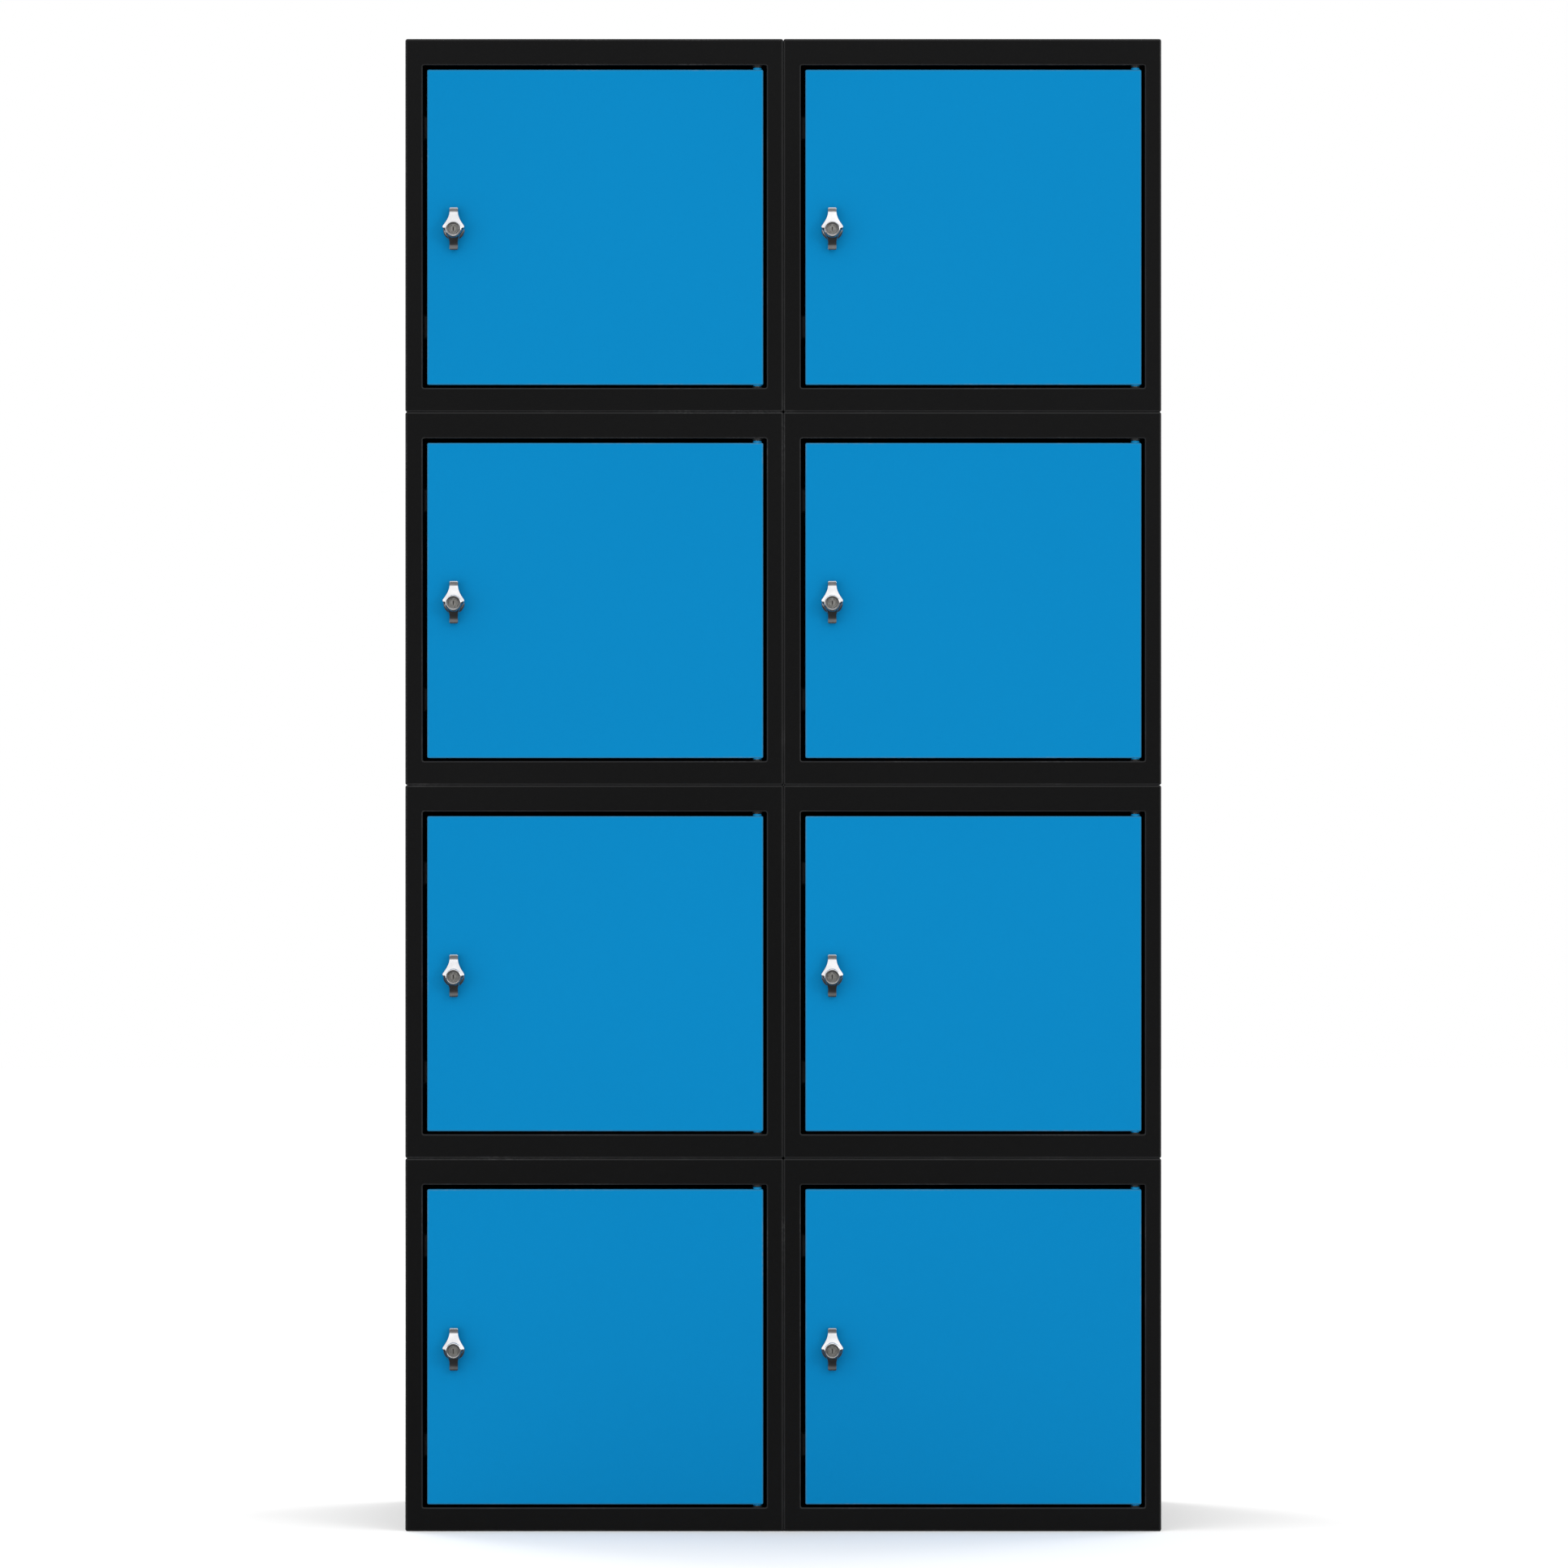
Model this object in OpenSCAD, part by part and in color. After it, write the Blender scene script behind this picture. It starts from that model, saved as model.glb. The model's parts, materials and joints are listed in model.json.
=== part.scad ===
// Coin-return locker: stacked sheet-steel modules, each with one inset hinged door,
// a wing-knob lock and a coin mechanism behind the door.
// Millimetres, +Z up, the doors face -Y, the origin is the middle of the base.

/* [Layout] */
// Number of modules side by side
columns = 2; // [1:1:3]
// Number of modules in each stack
rows = 4; // [1:1:5]
// Gap that paint and flatness leave between neighbouring modules
seam = 0.4; // [0.2:0.1:1]

/* [Module] */
// Outside width of one module
module_w = 380; // [300:1:460]
// Outside height of one module
module_h = 375; // [300:1:460]
// Outside depth of one module, frame face to back panel
module_d = 380; // [300:1:500]
// Thickness of the carcass sheet
sheet = 1; // [0.8:0.1:1.5]
// Width of the folded flange that carries the back panel
back_flange = 12; // [8:1:20]

/* [Front frame] */
// Face width of the stile on the lock side
lock_stile = 17.5; // [15:0.5:30]
// Face width of the stile on the hinge side
hinge_stile = 16.5; // [12:0.5:30]
// Face height of the top rail
top_rail = 26.5; // [18:0.5:40]
// Face height of the bottom rail
bottom_rail = 24; // [18:0.5:40]
// Depth of the returned lip round the door opening
lip_d = 16; // [14:0.5:24]

/* [Door] */
// Shadow gap on the lock side
gap_lock = 4.5; // [3:0.5:8]
// Shadow gap on the hinge side
gap_hinge = 3.5; // [3:0.5:8]
// Shadow gap over the door
gap_top = 4.5; // [3:0.5:8]
// Shadow gap under the door
gap_bottom = 3; // [2.5:0.5:8]
// Thickness of the door sheet
door_sheet = 1; // [0.8:0.1:1.5]
// Depth of the door's folded edges
door_return = 15; // [12:0.5:20]
// Width of the stiffening channel down the middle of the door
stiffener_w = 60; // [30:1:100]
// How far the stiffener's web stands behind the door sheet
stiffener_d = 12; // [8:0.5:14]

/* [Pivots] */
// Radius of the pivot pins
pin_r = 2.5; // [2:0.1:4]
// Radial running clearance of pins and turning parts
run_clear = 0.06; // [0.02:0.01:0.1]
// Distance of the pivot from the door's hinge edge
pivot_in = 6; // [5:0.5:10]
// Wall of the bosses inside the door that hold the pins
boss_wall = 2.4; // [2.2:0.1:4]
// How deep each boss is let into the door sheet
boss_sunk = 0.5; // [0.2:0.1:0.7]
// Wall of the pivot collars that show above and below the door
collar_wall = 1.8; // [1:0.1:2.2]
// Height of the collar on top of the door
collar_top = 2.4; // [1.5:0.1:2.6]
// Height of the collar under the door
collar_bottom = 1.4; // [1:0.1:1.6]
// End play between each collar and its bush
pivot_play = 0.4; // [0.2:0.1:0.6]
// Length of the boss inside the door that holds a pin
boss_l = 9; // [6:0.5:20]
// Length of the bush past the lip it sits in
bush_l = 4; // [2:0.5:8]
// Wall of the bush
bush_wall = 1.4; // [1:0.1:2]
// How far the bush's flange stands out
bush_flange = 1; // [0.5:0.1:1.5]
// Thickness of a pin's head
pin_head = 1.5; // [1:0.5:3]

/* [Wing knob] */
// How far the knob stands in front of the door
knob_out = 20; // [16:0.5:26]
// Reach of the upper wing from the knob's axis
wing_up = 22.5; // [16:0.5:30]
// Reach of the lower wing from the knob's axis
wing_down = 20.5; // [16:0.5:30]
// Width of the wing at its tips
wing_tip = 8.4; // [6:0.2:12]
// Height over the knob's axis at which the wings are as narrow as their tips
wing_flat = 16; // [12:0.5:20]
// How sharply the wings flare out to the shoulders
wing_flare = 1.8; // [1:0.1:3]
// Width of the knob across its shoulders
knob_w = 22; // [20:0.5:28]
// Height of the shoulders over the knob's axis
shoulder_z = 2.5; // [0:0.5:5]
// How far a wing's tip stands in front of the door
tip_out = 9; // [6:0.5:14]
// Radius of the knob's round face
face_r = 8; // [7:0.1:9]
// How far the face stands in front of the wings' ridge
face_step = 1; // [0.5:0.1:2]
// Thickness of the collar against the door
knob_collar = 3; // [2:0.5:5]
// Bevel round the front of that collar
collar_bevel = 1.6; // [0.4:0.1:2]
// Clearance between the collar and the door
knob_gap = 0.3; // [0.1:0.1:1]
// Radius of the shaft that turns in the lock neck
shaft_r = 6.5; // [6:0.1:8]
// Radius of the spindle that carries the cam
spindle_r = 4.5; // [3.5:0.1:5.5]
// Radius of the key plug
plug_r = 5; // [4:0.1:5.2]
// How far the key plug reaches behind the door face
plug_back = 8; // [4:0.5:12]
// Width of the keyway
keyway_w = 1.2; // [0.8:0.1:2]
// Height of the keyway
keyway_h = 5; // [3:0.5:6]
// Distance of the ring groove from the plug's edge
groove_in = 0.3; // [0.2:0.1:1]
// Width of the ring groove in the plug's face
groove_w = 1.2; // [0.8:0.1:1.6]
// Depth of the ring groove
groove_d = 0.8; // [0.4:0.1:1.5]
// Gap behind the plug in its bore
plug_clear = 0.2; // [0.1:0.1:1]

/* [Lock] */
// Distance of the lock axis from the door's free edge
lock_in = 27; // [24:0.5:40]
// How far the lock axis lies below the middle of the door
lock_drop = 3; // [0:0.5:20]
// Reach of the cam from the lock axis
cam_reach = 42; // [38:0.5:50]
// Width of the cam
cam_w = 15; // [10:0.5:18]
// Thickness of the cam
cam_t = 2.5; // [2:0.1:4]
// Play between the frame lip and the cam hooked behind it
cam_play = 1; // [0.5:0.1:2]
// Room round the cam in the case's side
cam_room = 3; // [2:0.5:6]
// Wall of the neck that the shaft turns in
neck_wall = 2.6; // [2:0.1:4]
// Clearance of the neck in the door
neck_clear = 0.3; // [0.1:0.1:1]
// Gap between the neck and the cam
neck_play = 1; // [0.3:0.1:2]
// Radius of the cam's hub
hub_r = 8; // [6.5:0.5:9]
// Length of the hub between the cam and the crank disc
hub_l = 4.5; // [2:0.5:8]
// Thickness of the crank disc
disc_t = 2.5; // [2:0.5:4]
// Rim of the crank disc past the crank pin
disc_rim = 0.5; // [0.3:0.1:2]
// Length of the spindle past the crank disc, for its nut
spindle_past = 1.5; // [1:0.5:4]
// Gap between the spindle's end and the coin carrier
spindle_room = 2; // [1:0.5:5]
// Distance of the crank pin from the lock axis
crank_r = 10; // [8:0.5:11]
// Radius of the crank pin
crank_pin_r = 2; // [1.5:0.1:2.5]
// Thickness of the strike plate behind the frame lip
strike_t = 2; // [1:0.5:3]
// Length of the strike plate
strike_l = 60; // [30:1:90]
// Distance of the strike plate and the stops behind the frame sheet
strike_in = 2; // [1:0.5:4]

/* [Coin mechanism] */
// Diameter of the coin that works the lock
coin_d = 23.4; // [20:0.1:26]
// Thickness of the coin
coin_t = 2.8; // [1.5:0.1:3.2]
// Clearance round the coin
coin_clear = 0.6; // [0.4:0.1:1.5]
// Wall of the coin case
case_t = 2; // [1.5:0.1:3]
// Distance of the case's free side from the lock axis
case_left = 19; // [17:0.5:22]
// Height of the case above the lock axis
case_up = 40; // [36:1:60]
// Height of the case below the lock axis
case_down = 62; // [55:1:90]
// Clearance of the sliding coin carrier
slide_clear = 0.3; // [0.2:0.05:0.5]
// Thickness of the coin carrier
slide_t = 3; // [2:0.5:4]
// Height of the carrier's top over the lock axis
slide_top = 12; // [8:0.5:20]
// Wall of the coin ledge on the carrier
ledge_wall = 2; // [1.5:0.1:3]
// How far the coin ledge laps over the lock axis, sideways and in height
ledge_lap = 2; // [1:0.5:4]
// Room beside the coin ledge
ledge_room = 1; // [0.5:0.1:3]
// Width and thickness of the ribs that guide the carrier
rib = 2; // [1.5:0.1:3]
// Gap between the case and its cover
cover_gap = 0.1; // [0.05:0.05:0.3]
// How far the return cup stands behind the cover
cup_out = 14; // [10:0.5:20]
// Height of the return cup
cup_h = 20; // [14:0.5:24]

/* [Stops and fasteners] */
// Distance of the door stops from the ends of the lock-side lip
stop_in = 50; // [25:1:80]
// Height of each door stop
stop_h = 24; // [15:1:40]
// Gap between the shut door and its buffers
stop_gap = 0.1; // [0.05:0.05:0.5]
// Least thickness of the rubber buffers
buffer_t = 1.8; // [1:0.1:3]
// Least gap between the frame lip and the stops' plates behind it
stop_behind = 0.9; // [0.5:0.1:2]
// Margin of each stop round its buffer
buffer_in = 1.5; // [0.5:0.5:4]
// Distance between the stops and the coin case
stop_clear = 2.5; // [2:0.5:5]
// Radius of the joining bolts
bolt_r = 3; // [2:0.5:4]
// Clearance of a bolt in its panel holes
bolt_clear = 0.3; // [0.1:0.1:1]
// Width across flats of the bolt heads and nuts
hex_w = 10; // [8:0.5:13]
// Height of a bolt head
head_h = 4; // [3:0.5:6]
// Height of a nut
nut_h = 5; // [3:0.5:7]
// Length of a bolt past its nut
bolt_past = 1.5; // [0.5:0.5:5]
// Radial clearance that stands in for the thread
thread_clear = 0.05; // [0.02:0.01:0.1]
// Distance of the joining bolts from the panel edges
bolt_in = 60; // [40:1:80]
// Radius of the wall-fixing holes
wall_hole_r = 3.5; // [2.5:0.5:5]
// Distance of the wall-fixing holes from the sides
wall_hole_in = 60; // [30:1:100]
// Distance of the wall-fixing holes below the top
wall_hole_down = 70; // [25:1:100]

/* [Hidden] */
$fn = 48;
// Small overlap that joins solids, and how far a cut runs past its solid
eps = 0.01;
over = 1;
// Number of straight steps in each flare of a wing
flare_steps = 8;
doors = columns * rows;

// Where the modules stand. Doors are numbered from the top left, row by row.
front_y = -(module_d - knob_out) / 2;
pitch_x = module_w + seam;
pitch_z = module_h + seam;
function column_of(n) = (n - 1) % columns;
function row_of(n) = rows - 1 - floor((n - 1) / columns);
function module_x(n) = (column_of(n) - (columns - 1) / 2) * pitch_x - module_w / 2;
function module_z(n) = row_of(n) * pitch_z;

// The door opening and the door, in a module's own frame
open_right = module_w - hinge_stile;
open_top = module_h - top_rail;
door_x = lock_stile + gap_lock;
door_z = bottom_rail + gap_bottom;
door_w = open_right - gap_hinge - door_x;
door_h = open_top - gap_top - door_z;
pivot_x = door_x + door_w - pivot_in;
collar_r = pin_r + run_clear + collar_wall;
boss_r = pin_r + run_clear + boss_wall;
pivot_back = boss_r + door_sheet - boss_sunk;
bush_r = pin_r + run_clear + bush_wall;
flange_r = bush_r + bush_flange;
head_r = bush_r;

// The lock, in a module's own frame
lock_x = door_x + lock_in;
lock_z = door_z + door_h / 2 - lock_drop;
neck_r = shaft_r + run_clear + neck_wall;
door_hole_r = neck_r + neck_clear;

// Depths behind the door face, from front to back
cam_y = lip_d + cam_play;
neck_end = cam_y - neck_play;
hub_y = cam_y + cam_t;
disc_y = hub_y + hub_l;
disc_end = disc_y + disc_t;
spindle_end = disc_end + spindle_past;
slide_y = spindle_end + spindle_room;
slide_end = slide_y + slide_t;
chute_d = coin_t + coin_clear;
ledge_end = slide_end + chute_d;
case_back = ledge_end + slide_clear;
cover_y = case_back + cover_gap;
cover_end = cover_y + case_t;

// The crank turns a quarter turn, half of it below the lock axis and half above.
crank_side = crank_r * cos(45);
slide_travel = 2 * crank_r * sin(45);
yoke_drift = crank_r * max([for (a = [0:45]) sin(a) - sin(45) * a / 45]);
yoke_half = crank_pin_r + yoke_drift + slide_clear;
disc_r = crank_r + crank_pin_r + disc_rim;

// The coin stands behind the carrier, on a curved ledge.
coin_r = coin_d / 2 + coin_clear / 2;
ledge_r = coin_r + ledge_wall;
coin_x = ledge_r - ledge_lap;
coin_z = -(ledge_r - ledge_lap);
case_right = coin_x + ledge_r + case_t + ledge_room;
case_left_in = -(case_left - case_t);
case_right_in = case_right - case_t;
slide_left = case_left_in + slide_clear;
slide_right = case_right_in - slide_clear;
slide_bottom = coin_z - ledge_r - ledge_wall;
cup_w = coin_d + 2 * coin_clear;
cup_z = -case_down + case_t;
mouth_h = cup_h - 2 * case_t;

// The stops that the shut door rests on, clear of the door's edge and of the lip
stop_y = max(door_return + stop_gap + buffer_t, lip_d + stop_behind);
lip_x = lock_stile - sheet;
stop_x = lock_x - case_left - stop_clear;
stop_zs = [bottom_rail + stop_in, open_top - stop_in - stop_h];

// Places shared by the bolts and their holes
bolt_hole_r = bolt_r + bolt_clear;
hex_r = hex_w / 2 / cos(30);
side_bolts = [for (y = [bolt_in, module_d - bolt_in], z = [bolt_in, module_h - bolt_in]) [y, z]];
stack_bolts = [for (x = [bolt_in, module_w - bolt_in], y = [bolt_in, module_d - bolt_in]) [x, y]];
grip = 2 * sheet + seam;

// Shared shapes
module at_module(n) {
    translate([module_x(n), front_y, module_z(n)]) children();
}

module at_lock(n) {
    at_module(n) translate([lock_x, 0, lock_z]) children();
}

// A box given by its lowest and highest corners
module block(low, high) {
    translate(low) cube(high - low);
}

// A round bar along Y
module bar_y(r, from, to) {
    translate([0, to, 0]) rotate([90, 0, 0]) cylinder(r = r, h = to - from);
}

// A round bar along X
module bar_x(r, from, to) {
    translate([from, 0, 0]) rotate([0, 90, 0]) cylinder(r = r, h = to - from);
}

// A round bar along Z
module bar_z(r, from, to) {
    translate([0, 0, from]) cylinder(r = r, h = to - from);
}

// Carcass panels
module side_sheet(drilled) {
    difference() {
        block([0, 0, 0], [sheet, module_d, module_h]);
        if (drilled)
            for (p = side_bolts)
                translate([0, p[0], p[1]]) bar_x(bolt_hole_r, -over, sheet + over);
    }
}

module side_panel(stile, drilled) {
    side_sheet(drilled);
    block([0, 0, 0], [stile, sheet, module_h]);
    block([stile - sheet, 0, bottom_rail], [stile, lip_d, open_top]);
    block([0, module_d - 2 * sheet, sheet], [sheet + back_flange, module_d - sheet, module_h - sheet]);
}

module side_panels_left() {
    color("#1b1b1b") for (n = [1:doors]) at_module(n) side_panel(lock_stile, column_of(n) > 0);
}

module side_panels_right() {
    color("#1b1b1b") for (n = [1:doors]) at_module(n)
        translate([module_w, 0, 0]) mirror([1, 0, 0])
            side_panel(hinge_stile, column_of(n) < columns - 1);
}

// A top or base panel with its rail at the bottom, as seen from the front
module level_panel(rail, drilled) {
    difference() {
        union() {
            block([sheet, sheet, 0], [module_w - sheet, module_d, sheet]);
            block([lock_stile, 0, 0], [open_right, sheet, rail]);
            block([lock_stile, 0, rail - sheet], [open_right, lip_d, rail]);
            block([sheet + back_flange, module_d - 2 * sheet, 0],
                  [module_w - sheet - back_flange, module_d - sheet, sheet + back_flange]);
        }
        if (drilled)
            for (p = stack_bolts)
                translate([p[0], p[1], 0]) bar_z(bolt_hole_r, -over, sheet + over);
        translate([pivot_x, pivot_back, 0]) bar_z(bush_r, rail - sheet - over, rail + over);
    }
}

module top_panels() {
    color("#171717") for (n = [1:doors]) at_module(n)
        translate([0, 0, module_h]) mirror([0, 0, 1])
            level_panel(top_rail, row_of(n) < rows - 1);
}

module base_panels() {
    color("#191919") for (n = [1:doors]) at_module(n)
        level_panel(bottom_rail, row_of(n) > 0);
}

module back_panels() {
    color("#1e1e1e") for (n = [1:doors]) at_module(n) difference() {
        block([sheet, module_d - sheet, sheet], [module_w - sheet, module_d, module_h - sheet]);
        for (x = [wall_hole_in, module_w - wall_hole_in])
            translate([x, 0, module_h - wall_hole_down])
                bar_y(wall_hole_r, module_d - sheet - over, module_d + over);
    }
}

// Pivots. Both ends are drawn pointing up from the door edge at z = 0.
module at_pivots(n) {
    at_module(n) translate([pivot_x, pivot_back, 0]) {
        translate([0, 0, door_z + door_h]) children(0);
        translate([0, 0, door_z]) mirror([0, 0, 1]) children(1);
    }
}

module pivot_pin(gap) {
    bar_z(pin_r, -boss_l, gap + sheet + bush_l + eps);
    bar_z(head_r, gap + sheet + bush_l, gap + sheet + bush_l + pin_head);
}

module pivot_bush(gap, collar) {
    difference() {
        union() {
            bar_z(flange_r, collar + pivot_play, gap);
            bar_z(bush_r, gap - eps, gap + sheet + bush_l);
        }
        bar_z(pin_r + run_clear, 0, gap + sheet + bush_l + over);
    }
}

module pivot_pins() {
    color("silver") for (n = [1:doors]) at_pivots(n) {
        pivot_pin(gap_top);
        pivot_pin(gap_bottom);
    }
}

module pivot_bushes() {
    color("#2a2a2a") for (n = [1:doors]) at_pivots(n) {
        pivot_bush(gap_top, collar_top);
        pivot_bush(gap_bottom, collar_bottom);
    }
}

// Strike plates behind the lip, where the cam hooks
module latch_strikes() {
    color("silver") for (n = [1:doors]) at_module(n)
        block([lip_x - strike_t, sheet + strike_in, lock_z - strike_l / 2],
              [lip_x, lip_d, lock_z + strike_l / 2]);
}

// Angles welded to the back of the lock-side lip, which stop the door
module door_stops() {
    color("#1b1b1b") for (n = [1:doors], z = stop_zs) at_module(n) {
        block([lip_x - sheet, sheet + strike_in, z], [lip_x, stop_y + sheet, z + stop_h]);
        block([lip_x - eps, stop_y, z], [stop_x, stop_y + sheet, z + stop_h]);
    }
}

module door_buffers() {
    color("#101010") for (n = [1:doors], z = stop_zs) at_module(n)
        block([lock_stile + buffer_in, door_return + stop_gap, z + buffer_in],
              [stop_x - buffer_in, stop_y, z + stop_h - buffer_in]);
}

// Bolts that join neighbouring modules. Each is drawn along Z, from its head at z = 0.
module joining_bolt() {
    translate([0, 0, -head_h]) cylinder(r = hex_r, h = head_h, $fn = 6);
    bar_z(bolt_r, -eps, grip + nut_h + bolt_past);
}

module joining_nut() {
    translate([0, 0, grip]) difference() {
        cylinder(r = hex_r, h = nut_h, $fn = 6);
        bar_z(bolt_r + thread_clear, -over, nut_h + over);
    }
}

// Puts its child at each joint, running from the left or upper module into the next one
module at_joints() {
    for (n = [1:doors]) at_module(n) {
        if (column_of(n) < columns - 1)
            for (p = side_bolts)
                translate([module_w - sheet, p[0], p[1]]) rotate([0, 90, 0]) children();
        if (row_of(n) > 0)
            for (p = stack_bolts)
                translate([p[0], p[1], sheet]) mirror([0, 0, 1]) children();
    }
}

module joining_bolts() {
    color("silver") at_joints() joining_bolt();
}

module joining_nuts() {
    color("silver") at_joints() joining_nut();
}

// Door: a folded pan with a welded stiffener and two pivot bosses
module pivot_boss(collar) {
    bar_z(collar_r, -door_sheet, collar);
    bar_z(boss_r, -boss_l, -door_sheet + eps);
}

module door_pan() {
    difference() {
        block([door_x, 0, door_z], [door_x + door_w, door_return, door_z + door_h]);
        block([door_x + door_sheet, door_sheet, door_z + door_sheet],
              [door_x + door_w - door_sheet, door_return + over, door_z + door_h - door_sheet]);
    }
}

module stiffener() {
    middle = door_x + door_w / 2;
    low = door_z + door_sheet;
    high = door_z + door_h - door_sheet;
    for (side = [-1, 1])
        block([middle + side * (stiffener_w - door_sheet) / 2 - door_sheet / 2, door_sheet - eps, low],
              [middle + side * (stiffener_w - door_sheet) / 2 + door_sheet / 2, stiffener_d, high]);
    block([middle - stiffener_w / 2, stiffener_d - door_sheet, low],
          [middle + stiffener_w / 2, stiffener_d, high]);
}

module door_leaf(n) {
    color("#0088c5") difference() {
        union() {
            at_module(n) door_pan();
            at_module(n) stiffener();
            at_pivots(n) {
                pivot_boss(collar_top);
                pivot_boss(collar_bottom);
            }
        }
        at_pivots(n) {
            bar_z(pin_r + run_clear, -boss_l - over, collar_top + over);
            bar_z(pin_r + run_clear, -boss_l - over, collar_bottom + over);
        }
        at_lock(n) bar_y(door_hole_r, -over, door_sheet + over);
    }
}

// Wing knob: the wing's outline seen from the front, cut by its outline seen from the side
function wing_half(z) =
    let (away = min(abs(z - shoulder_z) / (wing_flat - shoulder_z), 1))
        wing_tip / 2 + (knob_w - wing_tip) / 2 * pow(1 - away, wing_flare);

module wing_front() {
    heights = concat([-wing_down], [for (k = [-flare_steps:flare_steps])
        shoulder_z + (wing_flat - shoulder_z) * k / flare_steps], [wing_up]);
    polygon(concat(
        [for (z = heights) [wing_half(z), z]],
        [for (k = [len(heights) - 1:-1:0]) [-wing_half(heights[k]), heights[k]]]
    ));
}

// Drawn with y as the distance in front of the door
module wing_side() {
    ridge_out = knob_out - face_step;
    polygon([
        [-wing_down, knob_gap], [wing_up, knob_gap], [wing_up, tip_out], [wing_flat, tip_out],
        [shoulder_z, ridge_out], [-shoulder_z, ridge_out], [-wing_flat, tip_out], [-wing_down, tip_out]
    ]);
}

module wing() {
    intersection() {
        rotate([90, 0, 0]) linear_extrude(height = knob_out) wing_front();
        rotate([0, 0, 180]) rotate([0, -90, 0])
            linear_extrude(height = 2 * knob_w, center = true) wing_side();
    }
}

// The collar against the door, bevelled to the front
module knob_base() {
    flat = knob_gap + knob_collar - collar_bevel;
    bar_y(knob_w / 2, -flat, -knob_gap);
    translate([0, eps - flat, 0]) rotate([90, 0, 0])
        cylinder(r1 = knob_w / 2, r2 = knob_w / 2 - collar_bevel, h = collar_bevel + eps);
}

module wing_knob(n) {
    color("#d8d8d8") at_lock(n) difference() {
        union() {
            wing();
            knob_base();
            bar_y(face_r, -knob_out, -knob_gap);
            bar_y(shaft_r, -knob_gap - eps, cam_y);
            bar_y(spindle_r, cam_y - eps, spindle_end);
        }
        bar_y(plug_r + run_clear, -knob_out - over, plug_back + plug_clear);
    }
}

module key_plug(n) {
    color("#9a9a9a") at_lock(n) difference() {
        bar_y(plug_r, -knob_out, plug_back);
        block([-keyway_w / 2, -knob_out - over, -keyway_h / 2],
              [keyway_w / 2, -knob_out / 2, keyway_h / 2]);
        difference() {
            bar_y(plug_r - groove_in, -knob_out - over, -knob_out + groove_d);
            bar_y(plug_r - groove_in - groove_w, -knob_out - 2 * over, -knob_out + groove_d + over);
        }
    }
}

// Cam: the arm hangs down when unlocked, and its crank drives the coin carrier
module latch_cam(n) {
    color("#b0b0a8") at_lock(n) difference() {
        union() {
            bar_y(cam_w / 2, cam_y, hub_y);
            block([-cam_w / 2, cam_y, -(cam_reach - cam_w / 2)], [cam_w / 2, hub_y, 0]);
            translate([0, 0, -(cam_reach - cam_w / 2)]) bar_y(cam_w / 2, cam_y, hub_y);
            bar_y(hub_r, cam_y, disc_y + eps);
            bar_y(disc_r, disc_y, disc_end);
            translate([-crank_side, 0, -crank_side]) bar_y(crank_pin_r, disc_y + eps, slide_end + slide_clear);
        }
        bar_y(spindle_r + run_clear, cam_y - over, disc_end + over);
    }
}

// Coin case: a tub against the door, with a neck that the knob turns in
module case_tub() {
    difference() {
        block([-case_left, door_sheet, -case_down], [case_right, case_back, case_up]);
        block([case_left_in, door_sheet + case_t, -case_down + case_t],
              [case_right_in, case_back + over, case_up - case_t]);
        // the way out of the cam
        block([-case_left - over, cam_y - neck_play, -cam_reach - cam_room],
              [case_left_in + over, hub_y + neck_play, cam_w / 2 + cam_room]);
        // the coin slot in the top
        block([coin_x - coin_r, slide_end, case_up - case_t - over],
              [coin_x + coin_r, ledge_end, case_up + over]);
        bar_y(shaft_r + run_clear, 0, door_sheet + case_t + over);
    }
    difference() {
        bar_y(neck_r, 0, neck_end);
        bar_y(shaft_r + run_clear, -over, neck_end + over);
    }
}

// Ribs on the side walls that guide the carrier, in front of it and behind it
module guide_ribs() {
    for (y = [slide_y - slide_clear - rib, slide_end + slide_clear]) {
        block([case_left_in - eps, y, -case_down + case_t - eps],
              [case_left_in + rib, y + rib, case_up - case_t + eps]);
        block([case_right_in - ledge_room, y, -case_down + case_t - eps],
              [case_right_in + eps, y + rib, case_up - case_t + eps]);
    }
}

module case_cover() {
    difference() {
        union() {
            block([-case_left, cover_y, -case_down], [case_right, cover_end, case_up]);
            block([coin_x - cup_w / 2 - case_t, cover_end - eps, cup_z - case_t],
                  [coin_x + cup_w / 2 + case_t, cover_end + cup_out, cup_z + cup_h / 2]);
        }
        // the return mouth through the cover
        block([coin_x - cup_w / 2, cover_y - over, cup_z],
              [coin_x + cup_w / 2, cover_end + over, cup_z + mouth_h]);
        // the hollow of the cup
        block([coin_x - cup_w / 2, cover_end, cup_z],
              [coin_x + cup_w / 2, cover_end + cup_out - case_t, cup_z + cup_h]);
    }
}

module coin_case(n) {
    color("#2b2d30") at_lock(n) {
        case_tub();
        guide_ribs();
        case_cover();
    }
}

// Coin carrier: lifted by the crank pin when the knob turns
module coin_slide(n) {
    color("#c9a24a") at_lock(n) {
        difference() {
            block([slide_left, slide_y, slide_bottom], [slide_right, slide_end, slide_top]);
            block([-crank_r - crank_pin_r - slide_clear, slide_y - over, -crank_side - yoke_half],
                  [-crank_side + crank_pin_r + slide_clear, slide_end + over, -crank_side + yoke_half]);
        }
        translate([coin_x, 0, coin_z]) difference() {
            bar_y(ledge_r, slide_end - eps, ledge_end);
            bar_y(coin_r, slide_end - over, ledge_end + over);
            block([-ledge_r - over, slide_y, 0], [ledge_r + over, case_back, ledge_r + over]);
        }
    }
}

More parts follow.
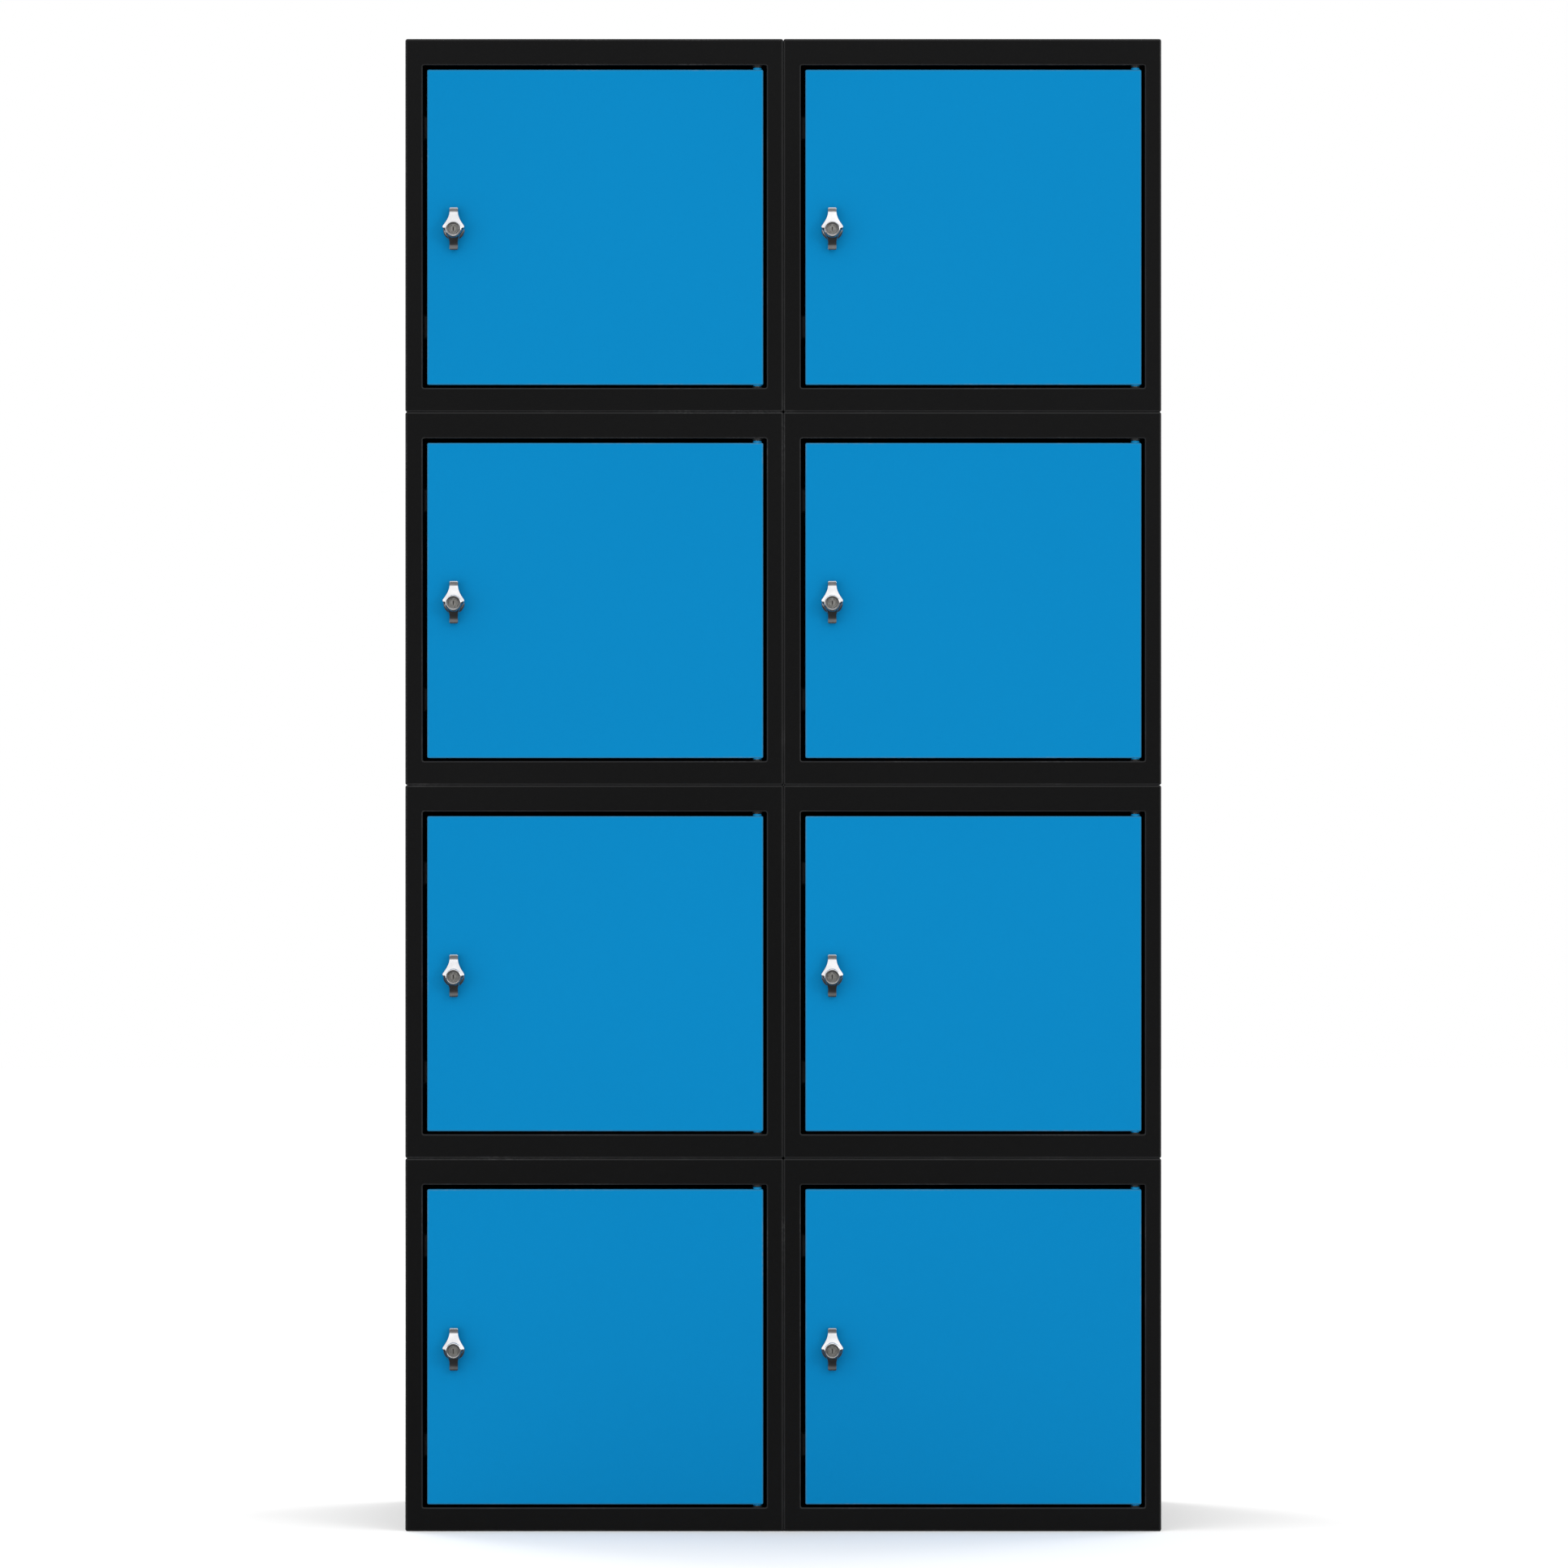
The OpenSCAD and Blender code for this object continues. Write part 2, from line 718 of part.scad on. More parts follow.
side_panels_left();
side_panels_right();
top_panels();
base_panels();
back_panels();
door_stops();
door_buffers();
latch_strikes();
pivot_pins();
pivot_bushes();
joining_bolts();
joining_nuts();
for (n = [1:doors]) {
    door_leaf(n);
    wing_knob(n);
    key_plug(n);
    latch_cam(n);
    coin_case(n);
    coin_slide(n);
}
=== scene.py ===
"""Coin-return locker: the painted steel, the locks and the small hardware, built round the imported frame."""

import json
import math

import bmesh
import bpy
from mathutils import Matrix, Vector


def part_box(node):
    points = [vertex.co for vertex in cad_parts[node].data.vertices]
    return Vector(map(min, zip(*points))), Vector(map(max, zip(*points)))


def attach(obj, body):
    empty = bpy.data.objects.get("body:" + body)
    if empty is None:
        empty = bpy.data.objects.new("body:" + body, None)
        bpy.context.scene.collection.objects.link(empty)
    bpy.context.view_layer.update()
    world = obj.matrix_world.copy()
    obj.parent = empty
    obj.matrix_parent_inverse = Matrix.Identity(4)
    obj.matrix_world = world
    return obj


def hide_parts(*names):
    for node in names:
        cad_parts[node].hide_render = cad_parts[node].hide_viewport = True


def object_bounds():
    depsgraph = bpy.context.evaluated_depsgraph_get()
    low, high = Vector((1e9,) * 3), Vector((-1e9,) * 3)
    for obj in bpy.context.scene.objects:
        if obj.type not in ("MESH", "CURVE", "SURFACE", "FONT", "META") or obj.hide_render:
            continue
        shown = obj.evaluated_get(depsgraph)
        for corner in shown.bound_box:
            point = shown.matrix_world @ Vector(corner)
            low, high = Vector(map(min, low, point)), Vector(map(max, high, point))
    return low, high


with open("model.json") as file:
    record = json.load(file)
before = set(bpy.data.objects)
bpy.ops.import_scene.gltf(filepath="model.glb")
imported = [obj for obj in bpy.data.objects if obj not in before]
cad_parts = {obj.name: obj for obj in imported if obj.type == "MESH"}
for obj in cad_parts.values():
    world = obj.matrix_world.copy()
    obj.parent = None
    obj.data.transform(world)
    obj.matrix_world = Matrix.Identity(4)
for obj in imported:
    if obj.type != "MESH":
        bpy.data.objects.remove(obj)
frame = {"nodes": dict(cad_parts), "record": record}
CAD_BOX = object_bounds()

MM = 0.001
FULL_TURN = 2 * math.pi
QUARTER_TURN = math.pi / 2
DOORS = range(1, 1 + sum(name.startswith("door_leaf_") for name in frame["nodes"]))

# Sheet metal, in metres: its thickness, its bends and its corners
SHEET = 1.0 * MM
CARCASS_BEND = 2.0 * MM
LIP_BEND = 1.5 * MM
DOOR_BEND = 1.6 * MM
STOP_BEND = 1.4 * MM
BEND_STEPS = 5
HIDDEN_BEND_STEPS = 2
CORNER_STEPS = 5
CORNER_RADIUS = 2.2 * MM
SQUARE_CORNER = 0.3 * MM
SHARPEST_CORNER = 0.05 * MM
KEEP_FLAT = 0.4 * MM  # from a bend to the extra points that keep its faces flat to the light
HOLE_STEPS = 32
CREASE = 35  # degrees, as are the next two
PANEL_CREASE = 10
KNOB_CREASE = 30

# Gaps round a door, and how far its hinge collars stand past its edges
GAP_LOCK = 4.5 * MM
GAP_HINGE = 3.5 * MM
GAP_TOP = 4.5 * MM
GAP_BOTTOM = 3.0 * MM
COLLAR_TOP = 2.4 * MM
COLLAR_BOTTOM = 1.4 * MM
LOCK_HOLE_RADIUS = 9.5 * MM

# Back panel, its flange, its spot welds and its wall holes
BACK_FLANGE = 12 * MM
PANEL_IN = 1.4 * MM
PANEL_CORNER = 1.0 * MM
PANEL_EASE = 0.25 * MM
PANEL_SUNK = 0.05 * MM
WELDS_PER_SIDE = 4
WELD_IN = 7 * MM
WELD_STEPS = 16
# each weld dimple ring: radius and depth in mm, then its wear and painted highlight, from 0 to 1
WELD_DIMPLE = ((2.7, 0, 0), (2.4, 0.14, 0.4), (1.9, 0.25, 0.2))  # radius and depth in mm, and wear
WALL_HOLE_RADIUS = 3.5 * MM
WALL_HOLE_IN = 60 * MM
WALL_HOLE_DOWN = 70 * MM
WALL_HOLE_STEPS = 24

# Door stops and joining bolts
STOP_TALL = 24 * MM
STOP_CUT = 0.4 * MM
BOLT_IN = 60 * MM
HEX_ACROSS = 10  # mm

# Wear and painted highlight on edges and bends, from 0 to 1: the paint is drawn lighter there as a painted
# highlight, and rubbed in noisy spots as wear. The first value below, a width, is how wide a strip it fades
# over beside a cut edge.
WEAR_AND_HIGHLIGHT_STRIP = 1.2 * MM
LIP_WEAR_AND_HIGHLIGHT = 0.7
BACK_EDGE_WEAR_AND_HIGHLIGHT = 0.6
PANEL_EDGE_WEAR_AND_HIGHLIGHT = 0.5
FLANGE_WEAR_AND_HIGHLIGHT = 0.3
STOP_WEAR_AND_HIGHLIGHT = 0.25
BOSS_WEAR_AND_HIGHLIGHT = 0.25
STIFFENER_WEAR_AND_HIGHLIGHT = 0.15

# Lock, in metres from the door face and the lock axis
WING_UP = 22.4 * MM
WING_DOWN = 20.4 * MM
WING_HALF = 4.3 * MM
WING_TIP_IN = 15.8 * MM
WING_BACK = 1.0 * MM
TIP_OUT = 9.0 * MM
TIP_ROUND = 1.2 * MM
TIP_BLEND = 0.5 * MM
SLOPE_IN = 1.5 * MM
RIDGE_OUT = 18.2 * MM
RIDGE_OVER = 0.6 * MM
RIDGE_ROUND = 1.6 * MM
EDGE_ROUND = 0.7 * MM
SHOULDER = 11.0 * MM
SHOULDER_Z = 2.6 * MM
SHOULDER_ROUND = 1.4 * MM
FLARE_POWER = 1.8
FACE_RADIUS = 8.0 * MM
PLUG_RADIUS = 5.0 * MM
PLUG_GAP = 0.06 * MM

# Coin case, in millimetres
CASE_WALL = 2.0
COVER_Y = 36.8
NECK_BORE = 6.56
CUP_X = (-2.3, 26.3)
CUP_FLOOR = -62.0


# ---------------------------------------------------------------- places of the modules, taken from the frame

LEFT_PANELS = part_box("side_panels_left")
RIGHT_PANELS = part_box("side_panels_right")
FRONT_Y = LEFT_PANELS[0].y
BACK_Y = LEFT_PANELS[1].y
LIP_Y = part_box("latch_strikes")[1].y
SEAM = 0.4 * MM
COLUMNS = 2
ROWS = 4
MODULE_W = (RIGHT_PANELS[1].x - LEFT_PANELS[0].x - SEAM * (COLUMNS - 1)) / COLUMNS
MODULE_H = (LEFT_PANELS[1].z - LEFT_PANELS[0].z - SEAM * (ROWS - 1)) / ROWS


def joint_of(name):
    """The frame's joint of that name."""
    return next(j for j in frame["record"]["behaviour"]["joints"] if j["name"] == name)


class Module:
    """Where one module, its opening, its door and its lock are."""

    def __init__(self, number):
        self.number = number
        column = (number - 1) % COLUMNS
        row = ROWS - 1 - (number - 1) // COLUMNS
        self.x0 = LEFT_PANELS[0].x + column * (MODULE_W + SEAM)
        self.x1 = self.x0 + MODULE_W
        self.z0 = LEFT_PANELS[0].z + row * (MODULE_H + SEAM)
        self.z1 = self.z0 + MODULE_H
        # neighbouring painted skins meet, so that no light comes through the seams
        touch = SEAM / 2
        self.skin = (
            self.x0 - (touch if column > 0 else 0),
            self.x1 + (touch if column < COLUMNS - 1 else 0),
            self.z0 - (touch if row > 0 else 0),
            self.z1 + (touch if row < ROWS - 1 else 0),
        )
        swing = joint_of(f"door_swing_{number}")["pos_m"]
        self.pivot = Vector((swing[0], swing[1], 0))
        self.lock = Vector(joint_of(f"knob_turn_{number}")["pos_m"])
        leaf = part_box(f"door_leaf_{number}")
        self.door = (leaf[0].x, leaf[1].x, leaf[0].z + COLLAR_BOTTOM, leaf[1].z - COLLAR_TOP)
        self.door_back = leaf[1].y
        self.opening = (
            self.door[0] - GAP_LOCK,
            self.door[1] + GAP_HINGE,
            self.door[2] - GAP_BOTTOM,
            self.door[3] + GAP_TOP,
        )


# ---------------------------------------------------------------- node helpers for the finishes


class Nodes:
    """A short way to write a material's nodes."""

    def __init__(self, name):
        self.material = bpy.data.materials.new(name)
        self.material.use_nodes = True
        self.tree = self.material.node_tree
        self.shader = self.tree.nodes["Principled BSDF"]
        self.place = self.tree.nodes.new("ShaderNodeTexCoord").outputs["Object"]

    def add(self, kind, links=None, **values):
        """A node with its properties and sockets set. links maps a socket to an output."""
        node = self.tree.nodes.new("ShaderNode" + kind)
        for key, value in values.items():
            if key in node.inputs:
                node.inputs[key].default_value = value
            else:
                setattr(node, key, value)
        for key, output in (links or {}).items():
            self.tree.links.new(output, node.inputs[key])
        return node

    def scaled(self, x, y, z):
        """The place on the object, stretched along each axis."""
        return self.add("Mapping", {"Vector": self.place}, Scale=(x, y, z)).outputs["Vector"]

    def noise(self, scale, detail, place=None):
        links = {"Vector": place or self.place}
        return self.add("TexNoise", links, Scale=scale, Detail=detail).outputs["Fac"]

    def ramp(self, value, low, high, at_low=0.0, at_high=1.0):
        """A value run from one range to another, and held at its ends."""
        node = self.add("MapRange", {"Value": value})
        for key, v in (("From Min", low), ("From Max", high), ("To Min", at_low), ("To Max", at_high)):
            node.inputs[key].default_value = v
        return node.outputs["Result"]

    def math(self, operation, a, b):
        node = self.add("Math", operation=operation)
        for socket, value in zip(node.inputs, (a, b)):
            if isinstance(value, (int, float)):
                socket.default_value = value
            else:
                self.tree.links.new(value, socket)
        return node.outputs["Value"]

    def mix(self, factor, a, b):
        """Colour a turning to colour b as the factor rises from 0 to 1."""
        node = self.add("Mix", data_type="RGBA")
        self.tree.links.new(factor, node.inputs["Factor"])
        for socket, value in ((node.inputs[6], a), (node.inputs[7], b)):
            if isinstance(value, tuple):
                socket.default_value = (*value, 1)
            else:
                self.tree.links.new(value, socket)
        return node.outputs[2]

    def bump(self, height, strength, distance, under=None):
        """Bumps of that height, on top of another bump if one is given."""
        links = {"Height": height}
        if under:
            links["Normal"] = under
        return self.add("Bump", links, Strength=strength, Distance=distance).outputs["Normal"]

    def finish(self, **links):
        """The material, once its colour, roughness and bumps are on the shader."""
        names = {"colour": "Base Color", "roughness": "Roughness", "normal": "Normal"}
        for key, output in links.items():
            self.tree.links.new(output, self.shader.inputs[names[key]])
        return self.material

    def set(self, **values):
        """Sets the shader's own sockets; an underscore in a name stands for a space."""
        for key, value in values.items():
            self.shader.inputs[key.replace("_", " ")].default_value = value


def rubbed(n, fold):
    """Where folded sheet is rubbed: its bends, broken up by noise, so that only some of each edge shows wear.
    """
    patches = n.ramp(n.noise(14, 4), 0.52, 0.72)
    grain = n.ramp(n.noise(420, 3), 0.40, 0.62)
    return n.math("MULTIPLY", fold, n.math("MULTIPLY", patches, grain))


def powder_coat(name, colour, deep, thin_coat_and_highlight, bare, edge, roughness, specular):
    """Powder coat on steel: orange-peel bump, faint colour drift, lighter specks of thin coat, a painted
    highlight drawn lighter along the bends and edges, rubbed in spots.
    """
    n = Nodes(name)
    n.set(Metallic=0.0, IOR=1.45, Specular_IOR_Level=specular)
    drift = n.ramp(n.noise(2.2, 3), 0.3, 0.7)
    base = n.mix(drift, colour, deep)
    speck = n.ramp(n.noise(900, 2), 0.62, 0.72, 0.0, 0.16)
    base = n.mix(speck, base, thin_coat_and_highlight)
    fold = n.add("Attribute", attribute_name="fold", attribute_type="GEOMETRY").outputs["Fac"]
    # painted highlight: the bends and edges, by the fold mask, drawn lighter in the same colour as the specks
    base = n.mix(n.math("MULTIPLY", fold, edge), base, thin_coat_and_highlight)
    base = n.mix(n.math("MULTIPLY", rubbed(n, fold), 0.6), base, bare)
    smears = n.noise(7, 2, n.scaled(1, 1, 2.5))
    rough = n.ramp(smears, 0.2, 0.8, roughness - 0.012, roughness + 0.016)
    rough = n.math("ADD", rough, n.ramp(n.noise(150, 3), 0.35, 0.7, -0.02, 0.03))
    peel = n.noise(650, 2)
    grit = n.noise(2600, 2)
    normal = n.bump(peel, 0.16, 0.0004)
    normal = n.bump(grit, 0.10, 0.0001, normal)
    return n.finish(colour=base, roughness=rough, normal=normal)


def chrome(name):
    """Bright chrome on a casting, with fine polishing lines and a little haze."""
    n = Nodes(name)
    n.set(Metallic=1.0)
    bright, hazed = (0.80, 0.80, 0.81), (0.62, 0.62, 0.64)
    lines = n.noise(180, 3, n.scaled(1, 1, 14))
    base = n.mix(n.ramp(n.noise(60, 3), 0.3, 0.7), bright, hazed)
    rough = n.ramp(n.noise(140, 4), 0.3, 0.75, 0.10, 0.24)
    return n.finish(colour=base, roughness=rough, normal=n.bump(lines, 0.05, 0.0002))


def turned_steel(name):
    """Dull turned metal, with the fine lines of the cut."""
    n = Nodes(name)
    n.set(Metallic=1.0)
    clean, dulled = (0.62, 0.61, 0.58), (0.46, 0.45, 0.43)
    base = n.mix(n.ramp(n.noise(300, 3), 0.35, 0.7), clean, dulled)
    rough = n.ramp(n.noise(500, 3), 0.3, 0.7, 0.30, 0.48)
    lines = n.noise(900, 2, n.scaled(0.2, 3, 0.2))
    return n.finish(colour=base, roughness=rough, normal=n.bump(lines, 0.12, 0.0001))


def zinc_plate(name):
    """Clear-passivated zinc on steel: a blotchy, faintly yellow grey."""
    n = Nodes(name)
    n.set(Metallic=1.0)
    zinc, yellowed, scuffed = (0.56, 0.56, 0.55), (0.44, 0.43, 0.38), (0.30, 0.30, 0.29)
    blotch = n.ramp(n.noise(70, 4), 0.3, 0.7)
    base = n.mix(blotch, zinc, yellowed)
    scuff = n.ramp(n.noise(260, 4), 0.55, 0.7, 0.0, 0.5)
    base = n.mix(scuff, base, scuffed)
    rough = n.ramp(n.noise(120, 4), 0.3, 0.7, 0.30, 0.50)
    return n.finish(colour=base, roughness=rough, normal=n.bump(n.noise(800, 2), 0.08, 0.0001))


def brass_sheet(name):
    """Stamped brass with the rolling grain along it."""
    n = Nodes(name)
    n.set(Metallic=1.0)
    brass, dark_brass = (0.66, 0.47, 0.19), (0.42, 0.28, 0.11)
    tarnish = n.ramp(n.noise(90, 4), 0.35, 0.75)
    base = n.mix(tarnish, brass, dark_brass)
    grain = n.noise(120, 3, n.scaled(1, 1, 30))
    rough = n.ramp(n.noise(200, 3), 0.3, 0.7, 0.28, 0.45)
    return n.finish(colour=base, roughness=rough, normal=n.bump(grain, 0.1, 0.0001))


def moulded(name, colour, light, roughness, pebble):
    """Moulded plastic or rubber with a spark-eroded texture."""
    n = Nodes(name)
    n.set(Metallic=0.0, Specular_IOR_Level=0.4)
    base = n.mix(n.ramp(n.noise(25, 4), 0.3, 0.75), colour, light)
    grain = n.add("TexVoronoi", {"Vector": n.place}, Scale=pebble).outputs["Distance"]
    base = n.mix(n.ramp(grain, 0.0, 0.7, 0.0, 0.35), base, light)
    rough = n.ramp(n.noise(60, 3), 0.3, 0.7, roughness - 0.06, roughness + 0.08)
    return n.finish(colour=base, roughness=rough, normal=n.bump(grain, 0.25, 0.0002))


FINISHES = {
    "carcass_paint": powder_coat(
        "black powder coat",
        colour=(0.0034, 0.0034, 0.0035),
        deep=(0.0044, 0.0044, 0.0046),
        # the lighter colour gives the specks of thin coat and the painted highlight on bends and edges; edge
        # is how strong that painted highlight is
        thin_coat_and_highlight=(0.026, 0.026, 0.0265),
        bare=(0.055, 0.055, 0.056),
        edge=0.75,
        roughness=0.44,
        specular=0.15,
    ),
    "door_paint": powder_coat(
        "blue powder coat",
        colour=(0.0, 0.190, 0.432),
        deep=(0.0, 0.184, 0.420),
        # the lighter, greyer blue gives the specks of thin coat and the painted highlight on the door's bends
        # and edges; edge is how strong that painted highlight is
        thin_coat_and_highlight=(0.025, 0.165, 0.305),
        bare=(0.10, 0.22, 0.34),
        edge=0.80,
        roughness=0.46,
        specular=0.05,
    ),
    "knob_chrome": chrome("bright chrome"),
    "plug_steel": turned_steel("turned plug face"),
    "zinc_steel": zinc_plate("zinc plate"),
    "black_nylon": moulded("black nylon", (0.006, 0.006, 0.006), (0.012, 0.012, 0.012), 0.55, 1500),
    "buffer_rubber": moulded("buffer rubber", (0.013, 0.013, 0.013), (0.028, 0.028, 0.027), 0.72, 900),
    "case_plastic": moulded("case plastic", (0.028, 0.030, 0.033), (0.05, 0.052, 0.056), 0.5, 1200),
    "carrier_brass": brass_sheet("stamped brass"),
}


# ---------------------------------------------------------------- mesh helpers


class Shell:
    """Collects the vertices and faces of one mesh. fold is how much wear and painted highlight each vertex
    gets, from 0 to 1.
    """

    def __init__(self):
        self.bm = bmesh.new()
        self.fold = self.bm.verts.layers.float.new("fold")

    def vert(self, place, fold=0.0):
        """A new vertex, with as much wear and painted highlight as fold says."""
        v = self.bm.verts.new(place)
        v[self.fold] = fold
        return v

    def face(self, verts):
        return self.bm.faces.new(verts)

    def skin(self, rings, closed=False):
        """Quads between each ring of vertices and the next."""
        following = rings[1:] + rings[:1] if closed else rings[1:]
        for a, b in zip(rings, following):
            for j in range(len(a)):
                k = (j + 1) % len(a)
                self.face((a[j], a[k], b[k], b[j]))

    def lathe(self, profile, centre, axis, steps, fold=0.0):
        """A turned solid. profile is (radius, distance along the axis), from axis to axis or closed."""
        turns = [FULL_TURN * k / steps for k in range(steps)]
        rings, ends = [], {}
        for i, (radius, along) in enumerate(profile):
            if radius < 1e-9:
                ends[i] = self.vert(turned(centre, axis, 0, 0, along), fold)
                rings.append(None)
                continue
            rings.append([self.vert(turned(centre, axis, radius, t, along), fold) for t in turns])
        count = len(profile)
        last = count - 1 if ends else count
        for i in range(last):
            a, b = rings[i], rings[(i + 1) % count]
            if a and b:
                self.skin([a, b])
            elif a or b:
                ring, tip = (a, ends[(i + 1) % count]) if a else (b, ends[i])
                for j in range(steps):
                    self.face((ring[j], ring[(j + 1) % steps], tip))

    def bar(self, outline, low, high, fold=0.0):
        """An upright bar of that outline of (x, y) points."""
        ends = [[self.vert((x, y, z), fold) for x, y in outline] for z in (low, high)]
        self.skin(ends)
        self.face(ends[0][::-1])
        self.face(ends[1])

    def block(self, low, high, round_off):
        """A box, its edges rounded off if asked."""
        made = bmesh.ops.create_cube(self.bm, size=1)["verts"]
        size = Vector(high) - Vector(low)
        middle = (Vector(high) + Vector(low)) / 2
        for v in made:
            v.co = Vector(a * b for a, b in zip(v.co, size)) + middle
        if round_off:
            edges = list({e for v in made for e in v.link_edges})
            bmesh.ops.bevel(
                self.bm, geom=edges, offset=round_off, segments=3, affect="EDGES", profile=0.5
            )

    def mesh(self, name, crease=CREASE):
        """The finished mesh, faces outward, smooth except at sharp edges."""
        bmesh.ops.remove_doubles(self.bm, verts=self.bm.verts, dist=1e-6)
        bmesh.ops.recalc_face_normals(self.bm, faces=self.bm.faces)
        made = bpy.data.meshes.new(name)
        self.bm.to_mesh(made)
        self.bm.free()
        return shade(made, crease)


def turned(centre, axis, radius, turn, along):
    """A point at that turn round an axis through the centre."""
    a, b = radius * math.cos(turn), radius * math.sin(turn)
    offset = {"y": (a, along, b), "z": (a, b, along)}[axis]
    return Vector(centre) + Vector(offset)


def shade(mesh, crease=CREASE):
    """Smooth shading, with an edge kept sharp where its faces turn by more than the crease angle."""
    for p in mesh.polygons:
        p.use_smooth = True
    mesh.set_sharp_from_angle(angle=math.radians(crease))
    return mesh


def placed(name, data):
    """A new object in the scene with that mesh, light or camera."""
    made = bpy.data.objects.new(name, data)
    bpy.context.scene.collection.objects.link(made)
    return made


def show(name, mesh, body, finish, replaced=()):
    """Puts a finished mesh in the scene, on its body, in its finish, in place of CAD nodes."""
    made = placed(name, mesh)
    mesh.materials.clear()
    mesh.materials.append(FINISHES[finish])
    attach(made, body)
    if replaced:
        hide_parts(*replaced)


def copied(mesh, name, offset):
    """A copy of a prototype mesh, moved to its place."""
    made = mesh.copy()
    made.name = name
    made.transform(Matrix.Translation(offset))
    return made


def rounded(x0, x1, z0, z1, radius):
    """A rectangle with round corners, anticlockwise seen from the front, as (x, z) points."""
    radius = max(radius, SHARPEST_CORNER)
    left, right, bottom, top = x0 + radius, x1 - radius, z0 + radius, z1 - radius
    points = []
    for quarter, (cx, cz) in enumerate(((right, top), (left, top), (left, bottom), (right, bottom))):
        for k in range(-1, CORNER_STEPS + 2):
            on_arc = min(max(k, 0), CORNER_STEPS)
            turn = QUARTER_TURN * (quarter + on_arc / CORNER_STEPS)
            # one more point on the straight at each end
            past = KEEP_FLAT * (k - on_arc)
            x = cx + radius * math.cos(turn) - past * math.sin(turn)
            z = cz + radius * math.sin(turn) + past * math.cos(turn)
            points.append((x, z))
    return points


def inset(box, amount, radius):
    """The outline of a box (x0, x1, z0, z1) drawn in by that amount, its corner radius with it."""
    return rounded(box[0] + amount, box[1] - amount, box[2] + amount, box[3] - amount, radius - amount)


def bend(radius, steps=BEND_STEPS):
    """Points round a right-angle bend, as (run in from one face, run in from the other, part of the way)."""
    for k in range(steps + 1):
        turn = QUARTER_TURN * k / steps
        yield radius * (1 - math.cos(turn)), radius * (1 - math.sin(turn)), k / steps


def wear_and_highlight(part):
    """How rubbed a bend is, and how strong its painted highlight, at that part of its way round: most in the
    middle.
    """
    return math.sin(math.pi * part)


# ---------------------------------------------------------------- carcass


def carcass_mesh(m):
    """One module's welded shell: sides, top and base folded in to the front frame and its lip."""
    shell = Shell()
    outer = m.skin
    lip_d = LIP_Y - FRONT_Y

    def ring(outline, depth, fold=0.0):
        return [shell.vert((x, FRONT_Y + depth, z), fold) for x, z in outline]

    depth = BACK_Y - FRONT_Y
    rings = [ring(inset(outer, 0, SQUARE_CORNER), depth, BACK_EDGE_WEAR_AND_HIGHLIGHT)]
    rings.append(ring(inset(outer, 0, SQUARE_CORNER), depth - WEAR_AND_HIGHLIGHT_STRIP))
    rings.append(ring(inset(outer, 0, CORNER_RADIUS), depth - 2 * WEAR_AND_HIGHLIGHT_STRIP))
    rings.append(ring(inset(outer, 0, CORNER_RADIUS), CARCASS_BEND + KEEP_FLAT))
    for a, b, part in bend(CARCASS_BEND):
        rings.append(ring(inset(outer, a, CORNER_RADIUS), b, wear_and_highlight(part)))
    rings.append(ring(inset(outer, CARCASS_BEND + KEEP_FLAT, CORNER_RADIUS), 0))
    rings.append(ring(inset(m.opening, -LIP_BEND - KEEP_FLAT, LIP_BEND), 0))
    for a, b, part in bend(LIP_BEND):
        rings.append(ring(inset(m.opening, -b, LIP_BEND), a, wear_and_highlight(part)))
    rings.append(ring(inset(m.opening, 0, LIP_BEND), lip_d - WEAR_AND_HIGHLIGHT_STRIP))
    rings.append(ring(inset(m.opening, 0, LIP_BEND), lip_d, LIP_WEAR_AND_HIGHLIGHT))
    rings.append(ring(inset(m.opening, -SHEET, LIP_BEND), lip_d, LIP_WEAR_AND_HIGHLIGHT))
    for a, b, _ in reversed(list(bend(LIP_BEND - SHEET, HIDDEN_BEND_STEPS))):
        rings.append(ring(inset(m.opening, -SHEET - b, LIP_BEND), SHEET + a))
    for a, b, _ in reversed(list(bend(CARCASS_BEND - SHEET, HIDDEN_BEND_STEPS))):
        rings.append(ring(inset(outer, SHEET + a, CORNER_RADIUS), SHEET + b))
    rings.append(ring(inset(outer, SHEET, CORNER_RADIUS), depth - 2 * WEAR_AND_HIGHLIGHT_STRIP))
    rings.append(ring(inset(outer, SHEET, SQUARE_CORNER), depth - WEAR_AND_HIGHLIGHT_STRIP))
    rings.append(ring(inset(outer, SHEET, SQUARE_CORNER), depth, BACK_EDGE_WEAR_AND_HIGHLIGHT))
    shell.skin(rings, closed=True)
    back_flange(shell, outer)
    return shell.mesh(f"module_shell_{m.number}")


def back_flange(shell, outer):
    """The flange that the back panel lies on, folded in from the sides, top and base."""
    y1 = BACK_Y - SHEET
    y0 = y1 - SHEET
    rings = []
    for amount, y in ((SHEET, y0), (SHEET + BACK_FLANGE, y0), (SHEET + BACK_FLANGE, y1), (SHEET, y1)):
        outline = inset(outer, amount, CORNER_RADIUS)
        rings.append([shell.vert((x, y, z), FLANGE_WEAR_AND_HIGHLIGHT) for x, z in outline])
    shell.skin(rings, closed=True)


